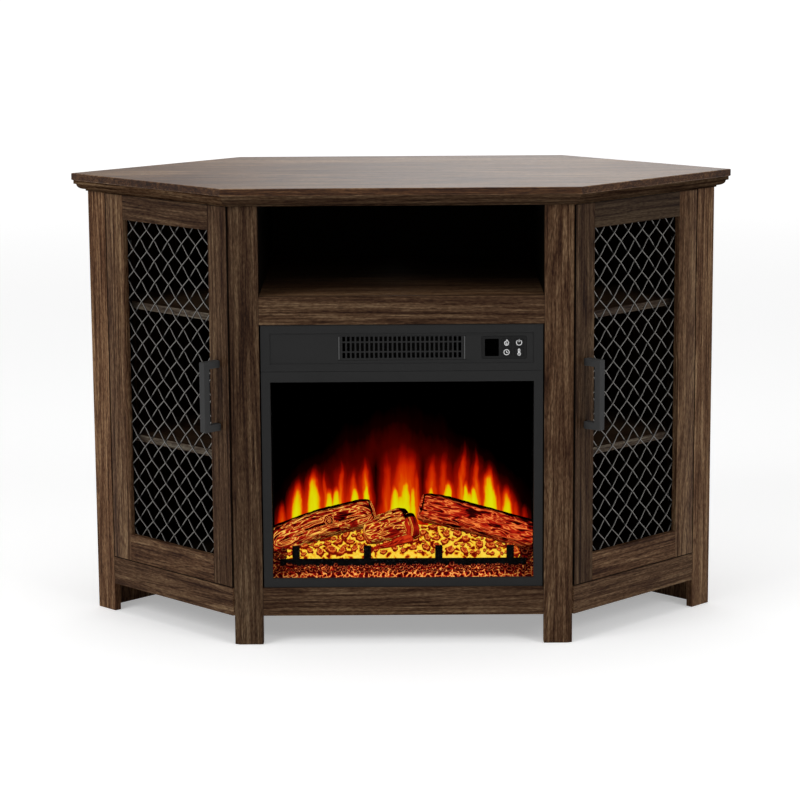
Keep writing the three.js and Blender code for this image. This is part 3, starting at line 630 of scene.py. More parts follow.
def binding(hand, sign):
    """Flat strip that holds the cut ends of the wires in the door's rebate: four mitred lengths."""
    left, right, low, high = WINDOW
    corners = ((left, low, -1, -1), (right, low, 1, -1), (right, high, 1, 1), (left, high, -1, 1))
    section = [(BINDING_LAP, BINDING_FRONT), (BINDING_LAP, BINDING_BACK)]
    section += [(BINDING_REVEAL, BINDING_BACK), (BINDING_REVEAL, BINDING_FRONT)]
    points = []
    for u, z, way_u, way_z in corners:
        points += [on_face(sign, u + way_u * lap, inwards, z + way_z * lap) for lap, inwards in section]
    mesh = mesh_from("mesh_binding_" + hand, points, skin(len(corners), len(section), ring=True))
    outward(mesh)
    add_object("mesh_binding_" + hand, mesh, "door_" + hand, [BLACK], ())


# Plain materials
def paint_finish(name, colour, rough, specular=0.08, grain=900, relief=0.12, metallic=0.0):
    """Powder coat, satin paint or brushed metal: fine orange-peel relief and a slight change of tone."""
    s = Shade(name)
    peel = s.noise(s.place(), grain, 3.0, 0.6)
    cloud = s.noise(s.place(), 14, 2.0)
    tone = s.scaled(cloud, 0.3, 0.85)
    return s.surface(
        base_color=s.dimmed(tone, srgb(*colour)),
        roughness=s.scaled(peel, 0.16, rough - 0.08),
        specular=specular, metallic=metallic, normal=s.bump(peel, relief, 0.2 * MM),
    )


CHARCOAL = paint_finish("charcoal_trim", (38, 38, 38), 0.55)
PLATE = paint_finish("plate_plastic", (28, 28, 28), 0.45)
HANDLE = paint_finish("handle_grey", (54, 54, 54), 0.5, 0.12, 1200, 0.1)
BLACK = paint_finish("black_sheet", (8, 8, 8), 0.8, 0.0)
DISPLAY = paint_finish("display_black", (1, 1, 1), 0.3, 0.0, 400, 0.02)
NICKEL = paint_finish("nickel", (190, 190, 186), 0.3, 0.5, 1500, 0.05, 0.9)
# The grille's end ribs are a lighter grey than the trim, as a painted highlight
RIB_HIGHLIGHT = paint_finish("grille_rib", (92, 92, 92), 0.5, 0.1)
GRATE = paint_finish("grate_plastic", (10, 9, 9), 0.6, 0.03)
FOIL = paint_finish("rotor_foil", (196, 198, 200), 0.25, 0.5, 300, 0.4, 0.95)
BLOWER = paint_finish("blower_plastic", (30, 30, 32), 0.5)
CERAMIC = paint_finish("heater_ceramic", (18, 17, 16), 0.8, 0.05, 500, 0.25)
RUBBER = paint_finish("gland_rubber", (17, 17, 17), 0.85, 0.04, 300, 0.3)


def backlit(name, colour, glow):
    """Printed symbol with a lamp behind it."""
    s = Shade(name)
    peel = s.noise(s.place(), 2500, 3.0)
    tone = s.dimmed(s.scaled(peel, 0.2, 0.8), srgb(*colour))
    return s.surface(
        base_color=tone, roughness=s.scaled(peel, 0.1, 0.55), specular=0.05,
        normal=s.bump(peel, 0.05, 0.1 * MM), emission_color=tone, emission_strength=glow,
    )


ICON = backlit("icon_print", (206, 206, 206), 0.3)


def clear_glass():
    s = Shade("clear_glass")
    wipe = s.noise(s.place(), 9, 3.0)
    clear = s.node("BsdfTransparent", {"Color": (0.97, 0.97, 0.97, 1)})
    gloss = s.node("BsdfGlossy", {"Color": (1, 1, 1, 1), "Roughness": s.scaled(wipe, 0.05, 0.01)})
    facing = s.node("LayerWeight", {"Blend": 0.5}).outputs["Facing"]
    rim = s.curve(facing, [(0.5, 0.0), (0.85, 0.12), (1.0, 0.9)])
    s.put(s.out.inputs[0], s.node("MixShader", {0: rim, 1: clear, 2: gloss}))
    return s.material


# Control panel
ICON_DEPTH_MM, ICON_ROOT_MM = 0.15, 0.05
ICON_SHUT_MM, ICON_MITRE = 0.001, 0.5
ICON_LINE_MM, ICON_THIN_MM = 1.15, 0.8
ICON_HALF_MM = 4.3


def circle(radius, start=0.0, end=360.0, steps=28, centre=(0, 0)):
    """Points of an arc, in degrees clockwise from the top."""
    points = []
    for step in range(steps + 1):
        angle = math.radians(start + (end - start) * step / steps)
        points.append((centre[0] + radius * math.sin(angle), centre[1] + radius * math.cos(angle)))
    return points


def ribbon(line, width, place):
    """Points and faces of a raised line with mitred corners. A line that ends where it starts is a ring."""
    spots = [Vector(spot) for spot in line]
    ring = (spots[0] - spots[-1]).length < ICON_SHUT_MM
    if ring:
        spots.pop()
    count = len(spots)
    section = ((-ICON_DEPTH_MM, 1), (-ICON_DEPTH_MM, -1), (ICON_ROOT_MM, -1), (ICON_ROOT_MM, 1))
    points = []
    for index, spot in enumerate(spots):
        ways = []
        if ring or index > 0:
            ways.append((spot - spots[index - 1]).normalized())
        if ring or index < count - 1:
            ways.append((spots[(index + 1) % count] - spot).normalized())
        way = sum(ways, Vector((0, 0))).normalized()
        reach = width / 2 / max(ICON_MITRE, way.dot(ways[0]))
        for depth, hand in section:
            points.append(place(spot.x - hand * reach * way.y, depth, spot.y + hand * reach * way.x))
    return points, skin(count, len(section), ring)


def icon_lines():
    """Each key's symbol: lines in the plane of the key and their widths."""
    flame = [(0.5, 4.7), (2.3, 2.4), (3.4, 0.2), (3.2, -2.2), (1.9, -4.0), (0, -4.6), (-1.9, -4.0)]
    flame += [(-3.2, -2.2), (-3.3, -0.2), (-2.4, 1.7), (-1.2, 1.1), (-0.5, 2.8), (0.5, 4.7)]
    core = [(0.1, -0.2), (1.1, -1.7), (0.7, -2.9), (-0.8, -2.9), (-1.1, -1.7), (0.1, -0.2)]
    bulb = circle(2.2, 30, 330, 18, (0, -2.9))
    stem = bulb + circle(1.3, -90, 90, 8, (0, 4.0)) + bulb[:1]
    line, thin = ICON_LINE_MM, ICON_THIN_MM
    return {
        "flame_key": [(flame, line), (core, thin)],
        "power_key": [(circle(ICON_HALF_MM, 34, 326), line), ([(0, 0.8), (0, 4.9)], line)],
        "timer_key": [(circle(ICON_HALF_MM), line), ([(0, 2.5), (0, 0), (2.0, -0.9)], line)],
        "heat_key": [(stem, line), ([(0, -2.9), (0, 2.2)], thin)],
    }


def icons():
    for node, lines in icon_lines().items():
        low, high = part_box(node)
        middle = ((low[0] + high[0]) / 2, (low[2] + high[2]) / 2)

        def place(x, depth, z):
            return Vector((middle[0] + x * MM, low[1] + depth * MM, middle[1] + z * MM))

        points, faces = merge([ribbon(line, width, place) for line, width in lines])
        mesh = mesh_from("icon_" + node, points, faces)
        outward(mesh)
        add_object("icon_" + node, mesh, node, [ICON], ())


def block(name, low, high, body, material, ease_mm):
    """A bar with eased edges between two corners in the insert, in millimetres."""
    mesh = bpy.data.meshes.new(name)
    build = bmesh.new()
    bmesh.ops.create_cube(build, size=1.0)
    for vertex in build.verts:
        share = [number + 0.5 for number in vertex.co]
        vertex.co = in_insert(*(a + (b - a) * s for a, b, s in zip(low, high, share)))
    bmesh.ops.bevel(build, geom=build.edges[:], offset=ease_mm * MM, segments=2, affect="EDGES", profile=0.5)
    build.to_mesh(mesh)
    build.free()
    add_object(name, mesh, body, [material], ())


# Sizes from the CAD source: the display's recess and the ends of the grille
DISPLAY_MM = {"x": (135.6, 157.9), "z": (386.9, 415.0), "y": (1.05, 1.65)}
GRILLE_END_MM = 103.2
GRILLE_Z_MM = (382.4, 419.8)
RIB_WIDTH_MM, RIB_Y_MM = 1.5, (0.7, 2.2)
DISPLAY_EASE_MM, RIB_EASE_MM = 0.2, 0.25


def control_panel():
    low, high = zip(DISPLAY_MM["x"], DISPLAY_MM["y"], DISPLAY_MM["z"])
    block("display_glass", low, high, "stand", DISPLAY, DISPLAY_EASE_MM)
    for hand, sign in HANDS.items():
        edges = sorted((sign * (GRILLE_END_MM - RIB_WIDTH_MM), sign * GRILLE_END_MM))
        low, high = zip(edges, RIB_Y_MM, GRILLE_Z_MM)
        block("grille_rib_" + hand, low, high, "stand", RIB_HIGHLIGHT, RIB_EASE_MM)
    icons()


# Flames on the screen
# Each tongue: middle, foot and tip in millimetres, half width, glow, and how far the tip leans
TONGUES = [
    (-205, 82, 127, 11, 0.5, 1), (-180, 93, 163, 14, 0.95, 2), (-151, 106, 184, 16, 1.0, 2),
    (-131, 112, 178, 8, 0.44, 1), (-126, 108, 147, 11, 0.95, 2), (-113, 110, 151, 12, 1.0, 1),
    (-105, 116, 194, 9, 0.5, 0), (-84, 124, 178, 11, 0.5, 1), (-82, 124, 151, 10, 0.9, 0),
    (-62, 124, 197, 11, 0.6, -1), (-62, 124, 158, 9, 0.95, 0), (-27, 112, 207, 12, 0.34, 2),
    (1, 104, 226, 28, 0.5, 2), (10, 116, 217, 17, 0.42, 3), (-12, 102, 158, 13, 1.0, -1),
    (5, 102, 172, 14, 1.0, 1), (-2, 98, 142, 30, 1.0, 0), (17, 104, 160, 9, 0.8, -1),
    (23, 104, 190, 10, 0.46, -2), (48, 130, 204, 13, 0.4, 2), (47, 128, 152, 8, 0.74, 2),
    (69, 126, 211, 12, 0.38, 2), (75, 122, 161, 11, 0.95, 3), (99, 116, 229, 11, 0.5, 1),
    (107, 110, 162, 10, 1.0, 0), (120, 110, 156, 12, 1.0, 1), (113, 106, 144, 22, 1.0, 0),
    (126, 112, 216, 11, 0.52, -1), (148, 104, 188, 17, 1.0, -2), (163, 106, 164, 8, 0.38, 0),
    (176, 98, 149, 13, 0.84, 1), (191, 94, 128, 9, 0.34, -1), (205, 88, 117, 9, 0.28, 0),
]
FLAME_FALL = 0.85
FLAME_WIDEN = 1.16
FLAME_SHARPNESS = 1.9
FLAME_TIP_FADE = 2.5
FLAME_TALLER, FLAME_LIFT = 1.06, 110.0
FLAME_SWAY, FLAME_SWAY_LOW, FLAME_FLICKER = 30.0, 5.0, 4.0
FADE_POWER = 1.5
HALO_REACH, HALO_GLOW = 0.36, 0.36
HAZE_FOOT, HAZE_DROP = 112.0, 30.0
HAZE_SPAN, HAZE_SHRINK = 176.0, 104.0
HAZE_HALF = 205.0
HAZE_GAPS = ((-45.0, 14.0), (34.0, 11.0))


def flame_material():
    """Tongues of flame in a red haze on black: the brightest tongue counts at each point of the screen."""
    s = Shade("flame_picture")
    place = s.place()
    x, _, z = s.split(place)
    x = s.times(x, 1 / MM)
    z = s.scaled(z, 1 / MM, -INSERT_LOW / MM)
    lift = s.scaled(z, 1 / FLAME_LIFT, -1.0, clamp=True)
    sway = s.noise(place, (34, 1, 15), 2.0, 0.5)
    flicker = s.noise(place, (190, 1, 60), 2.0, 0.6)
    straight = x
    x = s.scaled(s.centred(sway), s.scaled(lift, FLAME_SWAY, FLAME_SWAY_LOW), x)
    x = s.scaled(s.centred(flicker), FLAME_FLICKER, x)
    total = None
    for middle, foot, tip, half, glow, lean in TONGUES:
        half *= FLAME_WIDEN
        tall = (tip - foot) * FLAME_TALLER
        rise = s.scaled(z, 1 / tall, -foot / tall, clamp=True)
        spread = s.scaled(rise, -lean / half, s.scaled(x, 1 / half, -middle / half))
        narrow = s.math("DIVIDE", s.times(spread, spread), s.math("SUBTRACT", 1.002, rise))
        core = s.math("POWER", s.math("SUBTRACT", 1.0, narrow, clamp=True), FLAME_SHARPNESS)
        halo = s.scaled(narrow, -HALO_REACH * HALO_GLOW, HALO_GLOW)
        tip_fade = s.scaled(rise, -FLAME_TIP_FADE, FLAME_TIP_FADE, clamp=True)
        fall = s.scaled(s.math("POWER", rise, FADE_POWER), -FLAME_FALL * glow, glow)
        light = s.times(s.times(s.math("MAXIMUM", core, halo), fall), tip_fade)
        total = light if total is None else s.math("MAXIMUM", total, light)
    wisp = s.noise(place, (150, 1, 22), 3.0, 0.6)
    total = s.times(total, s.scaled(wisp, 0.6, 0.73))

    side = s.times(s.math("ABSOLUTE", straight), 1 / HAZE_HALF)
    foot = s.scaled(s.times(side, side), -HAZE_DROP, HAZE_FOOT)
    span = s.scaled(s.math("POWER", side, FADE_POWER), -HAZE_SHRINK, HAZE_SPAN)
    veil = s.noise(place, (26, 1, 8), 3.0, 0.6)
    height = s.math("DIVIDE", s.math("SUBTRACT", z, foot), span)
    height = s.scaled(s.centred(veil), 0.5, height)
    haze = s.curve(height, [(0.0, 0.27), (0.26, 0.23), (0.52, 0.16), (0.74, 0.09), (0.9, 0.04), (1.0, 0.0)])
    for middle, half in HAZE_GAPS:
        away = s.math("ABSOLUTE", s.math("SUBTRACT", straight, middle))
        gap = s.scaled(away, -1 / half, 1.0, clamp=True)
        gap = s.times(gap, s.curve(height, [(0.35, 0.7), (0.6, 0.0)]))
        haze = s.times(haze, s.math("SUBTRACT", 1.0, gap))
    inside = s.curve(side, [(0.86, 1.0), (1.0, 0.25)])
    haze = s.times(haze, inside)
    total = s.scaled(s.math("SUBTRACT", 1.0, total), haze, total)
    picture = s.ramp(total, [
        (0.0, (0, 0, 0)), (0.07, (16, 0, 0)), (0.15, (66, 2, 0)), (0.26, (132, 8, 0)),
        (0.38, (190, 28, 0)), (0.5, (216, 54, 0)), (0.6, (236, 104, 0)), (0.69, (236, 170, 0)),
        (0.79, (226, 206, 0)), (1.0, (230, 228, 12)),
    ])
    return s.surface(
        base_color=(0.0, 0.0, 0.0, 1), roughness=0.9, specular=0.0,
        emission_color=picture, emission_strength=1.0,
    )


# Logs
def glow_surface(s, colour, relief):
    """Resin lit from inside: the colour glows, and a little of it shows as plain paint."""
    return s.surface(
        base_color=s.dimmed(0.1, colour), roughness=0.85, specular=0.0,
        emission_color=colour, emission_strength=1.0, normal=s.bump(relief, 0.3, 0.5 * MM),
    )


KNOT_RING, KNOT_RADIUS = 5.2 * MM, 11 * MM
KNOT_PLACE = (-123, 60, 100)
# How dark the painted shade on the logs' undersides is
LOG_UNDERSIDE_SHADE = 0.2


def bark_material(name, scale=(42, 172), knot=None, pale=(255, 200, 88)):
    """Glowing bark: dark cracks and pale lines along the log, a burnt upper edge, painted shade on the
    underside and perhaps a knot.
    """
    s = Shade(name)
    grain = s.painted("grain")["Vector"]
    burn = s.painted("burn")["Fac"]
    lines = s.noise(grain, (*scale, 1), 1.3, 0.6, 0.8)
    if knot:
        away = s.vector("DISTANCE", s.place(), in_insert(*knot))["Value"]
        away = s.scaled(s.centred(s.noise(s.place(), 130.0)), KNOT_RING, away)
        rings = s.math("PINGPONG", s.times(away, 1 / KNOT_RING), 0.5)
        near = s.curve(s.times(away, 1 / KNOT_RADIUS), [(0.7, 1.0), (1.0, 0.0)])
        ringed = s.scaled(rings, 0.9, 0.28)
        lines = s.math("ADD", lines, s.times(s.math("SUBTRACT", ringed, lines), near))
    blotch = s.noise(grain, (22, 46, 1), 2.0)
    level = s.scaled(s.centred(blotch), 0.6, lines)
    colour = s.ramp(level, [
        (0.0, (8, 0, 0)), (0.3, (20, 2, 2)), (0.37, (96, 8, 6)), (0.43, (158, 22, 11)),
        (0.47, (192, 42, 17)), (0.487, pale), (0.515, pale), (0.532, (196, 46, 18)),
        (0.58, (164, 25, 12)), (0.65, (118, 12, 8)), (0.72, (44, 3, 3)), (1.0, (20, 2, 2)),
    ])
    # Painted shade: the underside of each log is darker
    upright = s.split(s.node("NewGeometry").outputs["Normal"])[2]
    below = s.curve(s.scaled(upright, 0.5, 0.5), [(0.1, LOG_UNDERSIDE_SHADE), (0.4, 1.0)])
    colour = s.dimmed(below, colour)
    colour = s.mix(burn, colour, srgb(5, 0, 0))
    return glow_surface(s, colour, lines)


# Each log: ends, radii, how far the burn reaches from each end, seed, how rough, how high up its
# side the burnt top begins and how far it bows up
LOGS = {
    "log_left": ((-218, 84, 57), (-50, 82, 109), (26, 24.5), (0, 3), 3.1, 1.0, 0.9, 5.0),
    "log_right": ((218, 84, 66), (30, 82, 117), (26, 25), (0, 3), 8.4, 1.0, 0.89, 3.0),
    "log_middle": ((7, 90, 90), (-60, 62, 76), (28, 21), (12, 0), 5.7, 0.7, 0.97, 1.0),
    "log_split": ((8, 77, 102), (19, 54, 72), (13, 12), (8, 0), 2.2, 0.4, 1.2, 0.0),
    "log_branch": ((-48, 49, 54), (14, 51, 71), (3, 8), (0, 0), 9.3, 0.4, 1.2, 0.0),
}
LOG_LOOKS = {
    "log_left": {"knot": KNOT_PLACE}, "log_right": {"pale": (244, 132, 60)},
    "log_middle": {"pale": (255, 206, 84)}, "log_split": {"scale": (7, 105), "pale": (255, 210, 70)},
    "log_branch": {"pale": (205, 62, 22)},
}
LOG_WALL = 216.9
LOG_SHOULDER, LOG_SHOULDER_DROP = 16.0, 0.16
LOG_BEND, LOG_BULGE = 3.0, 2.5
LOG_CAPS = (0.96, 0.86, 0.66, 0.4, 0.12)
LOG_ROWS_PER_MM, LOG_AROUND = 0.7, 84
LOG_SHARP = 70


def bark_log(name, start, end, radii, rims, seed, rough, burnt, bow, material, replaced):
    """A rough log with rounded ends. The burn covers its top and the rims of its ends, not the cut ends."""
    start, end = Vector(start), Vector(end)
    length = (end - start).length
    axis = (end - start) / length
    up = (Vector((0, 0, 1)) - axis * axis.z).normalized()
    side = up.cross(axis)
    rows = int(length * LOG_ROWS_PER_MM)
    points, grains, burns = [], [], []
    rings = [(row / rows, 1.0) for row in range(rows + 1)]
    rings = [(0.0, cap) for cap in reversed(LOG_CAPS)] + rings + [(1.0, cap) for cap in LOG_CAPS]
    for share, cap in rings:
        travel = share * length
        bend = (bow + LOG_BEND * noise.noise(Vector((share * 2.1, seed, 0.3)))) * math.sin(math.pi * share)
        bulge = math.sqrt(max(0.0, 1 - cap * cap)) * LOG_BULGE * (1 if share > 0.5 else -1)
        centre = start.lerp(end, share) + up * bend + axis * bulge
        shoulder = max(0.0, 1 - min(share, 1 - share) * length / LOG_SHOULDER)
        base = radii[0] + (radii[1] - radii[0]) * share
        base *= 1 - LOG_SHOULDER_DROP * shoulder * shoulder
        rim = max(rims[0] - travel, rims[1] - (length - travel))
        for step in range(LOG_AROUND):
            turn = math.pi * (2 * step / LOG_AROUND - 1)
            across, rise = math.cos(turn), math.sin(turn)
            ridge = Vector((across * 4.2, rise * 4.2, travel * 0.045 + seed))
            ripple = noise.ridged_multi_fractal(ridge, 0.9, 2.1, 3, 1.0, 2.0)
            swell = noise.noise(Vector((across * 1.3, rise * 1.3, travel * 0.02 + 7 + seed)))
            radius = (base * (1 + 0.06 * swell) + rough * (1.2 * (ripple - 1.2))) * cap
            spot = centre + radius * (across * side + rise * up)
            spot.x = max(-LOG_WALL, min(LOG_WALL, spot.x))
            points.append(in_insert(*spot))
            grains.append(((travel + bulge * 2) * MM, turn * base * (0.3 + 0.7 * cap) * MM, seed, 1))
            charred = -5.0 if cap < 1.0 else max((rise - burnt) / 0.07, rim + min(0.0, rise) * 6)
            charred = min(1.0, max(0.0, charred + 0.6 * noise.noise(spot * 0.09)))
            burns.append((charred, charred, charred, 1))
    mesh = mesh_from(name, points, skin(len(rings), LOG_AROUND), smooth=True)
    outward(mesh)
    paint(mesh, "grain", grains)
    paint(mesh, "burn", burns)
    sharpen(add_object(name, mesh, "stand", [material], replaced), LOG_SHARP)


def log_set():
    for index, (name, sizes) in enumerate(LOGS.items()):
        material = bark_material("bark_" + name, **LOG_LOOKS[name])
        bark_log(name, *sizes, material, ("log_set",) if index == 0 else ())


# Ember bed and coals
def ember_material(name, stops, cell, shape, seams, ends=0.0):
    """Embers: lumps with dark rims in a bright net, banded by how far a point is from its cell's edge.

    On the loose lumps the painted lift counts as well. Towards both ends of the bed the colour may fade.
    """
    s = Shade(name)
    place = s.place()
    fine = s.noise(place, cell * 2.6, 3.0, 0.6, 0.8)
    wander = s.node("TexNoise", {"Vector": place, "Scale": cell * 0.9, "Detail": 2.0}).outputs["Color"]
    wander = s.vector("SUBTRACT", wander, (0.5, 0.5, 0.5))[0]
    wander = s.node("VectorMath", {0: wander, "Scale": 0.9 / cell}, operation="SCALE")
    shaken = s.vector("ADD", place, wander)[0]
    cells = s.node("TexVoronoi", {"Vector": shaken, "Scale": cell}, feature="DISTANCE_TO_EDGE").outputs[0]
    level = s.scaled(s.centred(fine), seams, s.times(cells, shape))
    raised = s.scaled(s.centred(fine), 0.6, s.painted("lift")["Fac"])
    level = s.math("MAXIMUM", level, raised)
    colour = s.ramp(level, stops)
    if ends:
        side = s.times(s.math("ABSOLUTE", s.split(place)[0]), 1 / (BED_HALF * MM))
        colour = s.dimmed(s.curve(side, [(0.6, 1.0), (1.0, 1 - ends)]), colour)
    return glow_surface(s, colour, fine)


BED_STOPS = [
    (0.0, (252, 216, 72)), (0.13, (244, 188, 36)), (0.18, (222, 106, 18)), (0.22, (128, 16, 6)),
    (0.32, (96, 8, 4)), (0.5, (122, 18, 7)), (0.6, (190, 58, 17)), (0.7, (212, 92, 28)),
    (0.76, (250, 176, 70)), (0.81, (196, 66, 20)), (0.9, (140, 24, 9)), (1.0, (196, 74, 24)),
]
DARK_STOPS = [
    (0.0, (255, 196, 104)), (0.05, (246, 142, 58)), (0.1, (192, 42, 18)), (0.22, (132, 14, 10)),
    (0.36, (60, 4, 6)), (0.5, (12, 1, 3)), (0.7, (116, 20, 14)), (0.76, (226, 116, 60)),
    (0.82, (90, 10, 8)), (1.0, (18, 2, 4)),
]
BED_HALF, BED_LOW = 217.0, 2.0
BED_SLOPE = [(17.2, 18.7), (27, 28.7), (42, 31), (50, 45), (62, 58), (76, 68), (90, 77), (110.5, 80)]
BED_SAG = 28.0
BED_FRONT, BED_FRONT_LIFT = 38.0, 0.01
BED_GLOW_HALF = 196.0
BED_COLUMNS, BED_ROWS = 240, 60
BED_ROUGH, BED_WAVER, BED_RISE, BED_SHARP = 2.2, 4.0, 45.0, 60
EMBER = ember_material("glowing_embers", BED_STOPS, 85.0, 0.85, 0.2)
COAL = ember_material("dark_coals", DARK_STOPS, 118.0, 1.5, 0.4, 0.75)


def bed_height(x, y):
    """Height of the ember bed: a slope that rises to the back and sags towards both ends."""
    for (y0, z0), (y1, z1) in zip(BED_SLOPE, BED_SLOPE[1:]):
        if y <= y1:
            height = z0 + (z1 - z0) * (y - y0) / (y1 - y0)
            break
    rise = min(1.0, max(0.0, (y - BED_SLOPE[2][0]) / BED_RISE))
    return height - BED_SAG * rise * (abs(x) / BED_HALF) ** 1.6


def dark_place(x, y):
    """Whether the bed is dark here: in front of the grate's bar and near both ends."""
    return y < BED_FRONT or abs(x) > BED_GLOW_HALF + BED_WAVER * noise.noise(Vector((x * 0.2, y * 0.2, 4.4)))


def ember_bed():
    """The glowing floor of the fire: a closed moulding with a rough upper side."""
    columns, rows = BED_COLUMNS, BED_ROWS
    first, last = BED_SLOPE[0][0], BED_SLOPE[-1][0]
    points, lifts, faces = [], [], []
    for row in range(rows + 1):
        y = first + (last - first) * row / rows
        for column in range(columns + 1):
            x = BED_HALF * (2 * column / columns - 1)
            inner = 0.0 if row in (0, rows) or column in (0, columns) else 1.0
            rough = inner * BED_ROUGH * noise.noise(Vector((x * 0.1, y * 0.1, 1.7)))
            points.append(in_insert(x, y, bed_height(x, y) + rough))
            lifts.append((BED_FRONT_LIFT if dark_place(x, y) else 0.0,) * 3 + (1,))
    wide = columns + 1
    for row in range(rows):
        for column in range(columns):
            a = row * wide + column
            faces.append((a, a + 1, a + 1 + wide, a + wide))
    border = list(range(wide)) + [row * wide + columns for row in range(1, rows + 1)]
    border += [rows * wide + column for column in range(columns - 1, -1, -1)]
    border += [row * wide for row in range(rows - 1, 0, -1)]
    base = len(points)
    for index in border:
        spot = points[index].copy()
        spot.z = INSERT_LOW + BED_LOW * MM
        points.append(spot)
        lifts.append(lifts[index])
    for index in range(len(border)):
        follow = (index + 1) % len(border)
        faces.append((border[index], base + index, base + follow, border[follow]))
    faces.append(tuple(base + index for index in reversed(range(len(border)))))
    mesh = mesh_from("ember_floor", points, faces, smooth=True)
    outward(mesh)
    paint(mesh, "lift", lifts)
    piece = add_object("ember_floor", mesh, "stand", [EMBER, COAL], ("ember_bed",))
    for polygon in mesh.polygons:
        if all(lifts[index][0] > 0.0 for index in polygon.vertices):
            polygon.material_index = 1
    sharpen(piece, BED_SHARP)


# Each area of lumps: their heap, how many at most, their reach in x and in y, and their radii
LUMP_AREAS = [
    ("coals_glowing", 50, (-192, 192), (53, 98), (5.8, 9.0)),
    ("coals_glowing", 150, (-192, 192), (51, 98), (3.0, 5.6)),
    ("coals_dark", 190, (-212, 212), (19, 28), (2.6, 5.6)),
    ("coals_dark", 30, (-213, -196), (36, 80), (3.0, 7.0)),
    ("coals_dark", 30, (196, 213), (36, 80), (3.0, 7.0)),
]
LUMP_TRIES, LUMP_SEED = 9000, 21
LUMP_RIM = 0.22
LUMP_SPACING = {"coals_glowing": 1.14, "coals_dark": 0.92}
LUMP_STAND = {"coals_glowing": 0.1, "coals_dark": 0.3}


def lump(ball, spot, radius, outwards, draw):
    """Points of a rough lump and how far each stands out of the bed."""
    seed = draw.uniform(0, 90)
    stretch = (draw.uniform(0.85, 1.45), draw.uniform(0.7, 1.05), draw.uniform(0.7, 0.95))
    turn = Matrix.Rotation(draw.uniform(0, math.pi), 3, outwards)
    points, lifts = [], []
    for point in ball:
        bulge = 1 + 0.5 * noise.noise(point * 1.7 + Vector((seed, 0, 0)))
        bulge += 0.1 * noise.noise(point * 5.0 + Vector((0, seed, 0)))
        shaped = turn @ (Vector([a * b for a, b in zip(point, stretch)]) * bulge)
        points.append(in_insert(*(spot + shaped * radius)))
        level = LUMP_RIM + (1 - LUMP_RIM) * max(0.0, (turn @ point).dot(outwards)) ** 1.5
        lifts.append((level, level, level, 1))
    return points, lifts


def coals():
    """Loose lumps on the bed: glowing ones round the logs, dark ones in front of the grate's bar."""
    build = bmesh.new()
    bmesh.ops.create_icosphere(build, subdivisions=3, radius=1.0)
    ball = [vertex.co.copy() for vertex in build.verts]
    ball_faces = [tuple(vertex.index for vertex in face.verts) for face in build.faces]
    build.free()
    draw = random.Random(LUMP_SEED)
    heaps = {"coals_glowing": [], "coals_dark": []}
    placed = []
    for name, count, reach_x, reach_y, size in LUMP_AREAS:
        made = 0
        for _ in range(LUMP_TRIES):
            if made == count:
                break
            radius = draw.uniform(*size)
            x, y = draw.uniform(*reach_x), draw.uniform(*reach_y)
            slope = (bed_height(x, y + 2) - bed_height(x, y - 2)) / 4
            outwards = Vector((0, -slope, 1)).normalized()
            spot = Vector((x, y, bed_height(x, y))) + outwards * radius * LUMP_STAND[name]
            if any((spot - other).length < LUMP_SPACING[name] * (radius + reach) for other, reach in placed):
                continue
            placed.append((spot, radius))
            made += 1
            points, lifts = lump(ball, spot, radius, outwards, draw)
            heaps[name].append((points, ball_faces, lifts))
    for (name, parts), material in zip(heaps.items(), (EMBER, COAL)):
        points, faces, lifts = merge(parts)
        mesh = mesh_from(name, points, faces, smooth=True)
        paint(mesh, "lift", lifts)
        add_object(name, mesh, "stand", [material], ())


# Camera, light and floor
CAMERA_PLACE = Vector((0.005905, -4.510001, 1.214157))
CAMERA_YAW, CAMERA_PITCH, CAMERA_ROLL = -0.002201, 0.186038, 0.006568
SENSOR_MM = 36.0
CAMERA_LENS_MM = 3.316478 * SENSOR_MM


def camera():
    yaw, pitch, roll = CAMERA_YAW, CAMERA_PITCH, CAMERA_ROLL
    ahead = Vector((math.sin(yaw) * math.cos(pitch), math.cos(yaw) * math.cos(pitch), -math.sin(pitch)))
    level = Vector((math.cos(yaw), -math.sin(yaw), 0))
    down = ahead.cross(level)
    right = math.cos(roll) * level + math.sin(roll) * down
    below = math.cos(roll) * down - math.sin(roll) * level
    data = bpy.data.cameras.new("camera")
    data.lens = CAMERA_LENS_MM
    data.sensor_width = SENSOR_MM
    made = in_scene("camera", data)
    turn = Matrix((right, -below, -ahead)).transposed()
    made.matrix_world = Matrix.Translation(CAMERA_PLACE) @ turn.to_4x4()
    bpy.context.scene.camera = made


def area_light(name, place, target, side, power):
    data = bpy.data.lights.new(name, "AREA")
    data.shape = "RECTANGLE"
    data.size = data.size_y = side
    data.energy = power
    made = in_scene(name, data)
    made.location = place
    made.rotation_euler = (Vector(target) - Vector(place)).to_track_quat("-Z", "Y").to_euler()


# Each soft light: its place, what it points at, its side and its power
LIGHTS = {
    "key_left": ((-2.6, -2.4, 2.6), (0, 0, 0.4), 1.8, 55),
    "key_right": ((2.6, -2.6, 2.2), (0, 0, 0.4), 1.6, 42),
    "top_soft": ((0, 0.3, 3.2), (0, 0, 0.7), 2.4, 26),
}
AMBIENT = 0.42
SKY_PEAK, SKY_SPREAD = 1.74, 1.2
SKY = [
    (0.1, 0.2), (0.34, 0.22), (0.4, 0.28), (0.45, 0.66), (0.5, 0.9), (0.56, 0.97), (0.64, 0.9), (0.82, 0.2),
]
FLOOR_TONE = 0.86
FLOOR_HALF, FLOOR_DROP = 30.0, 0.5 * MM
FLOOR_GLOW_NEAR, FLOOR_GLOW_FAR = 0.34, 0.72


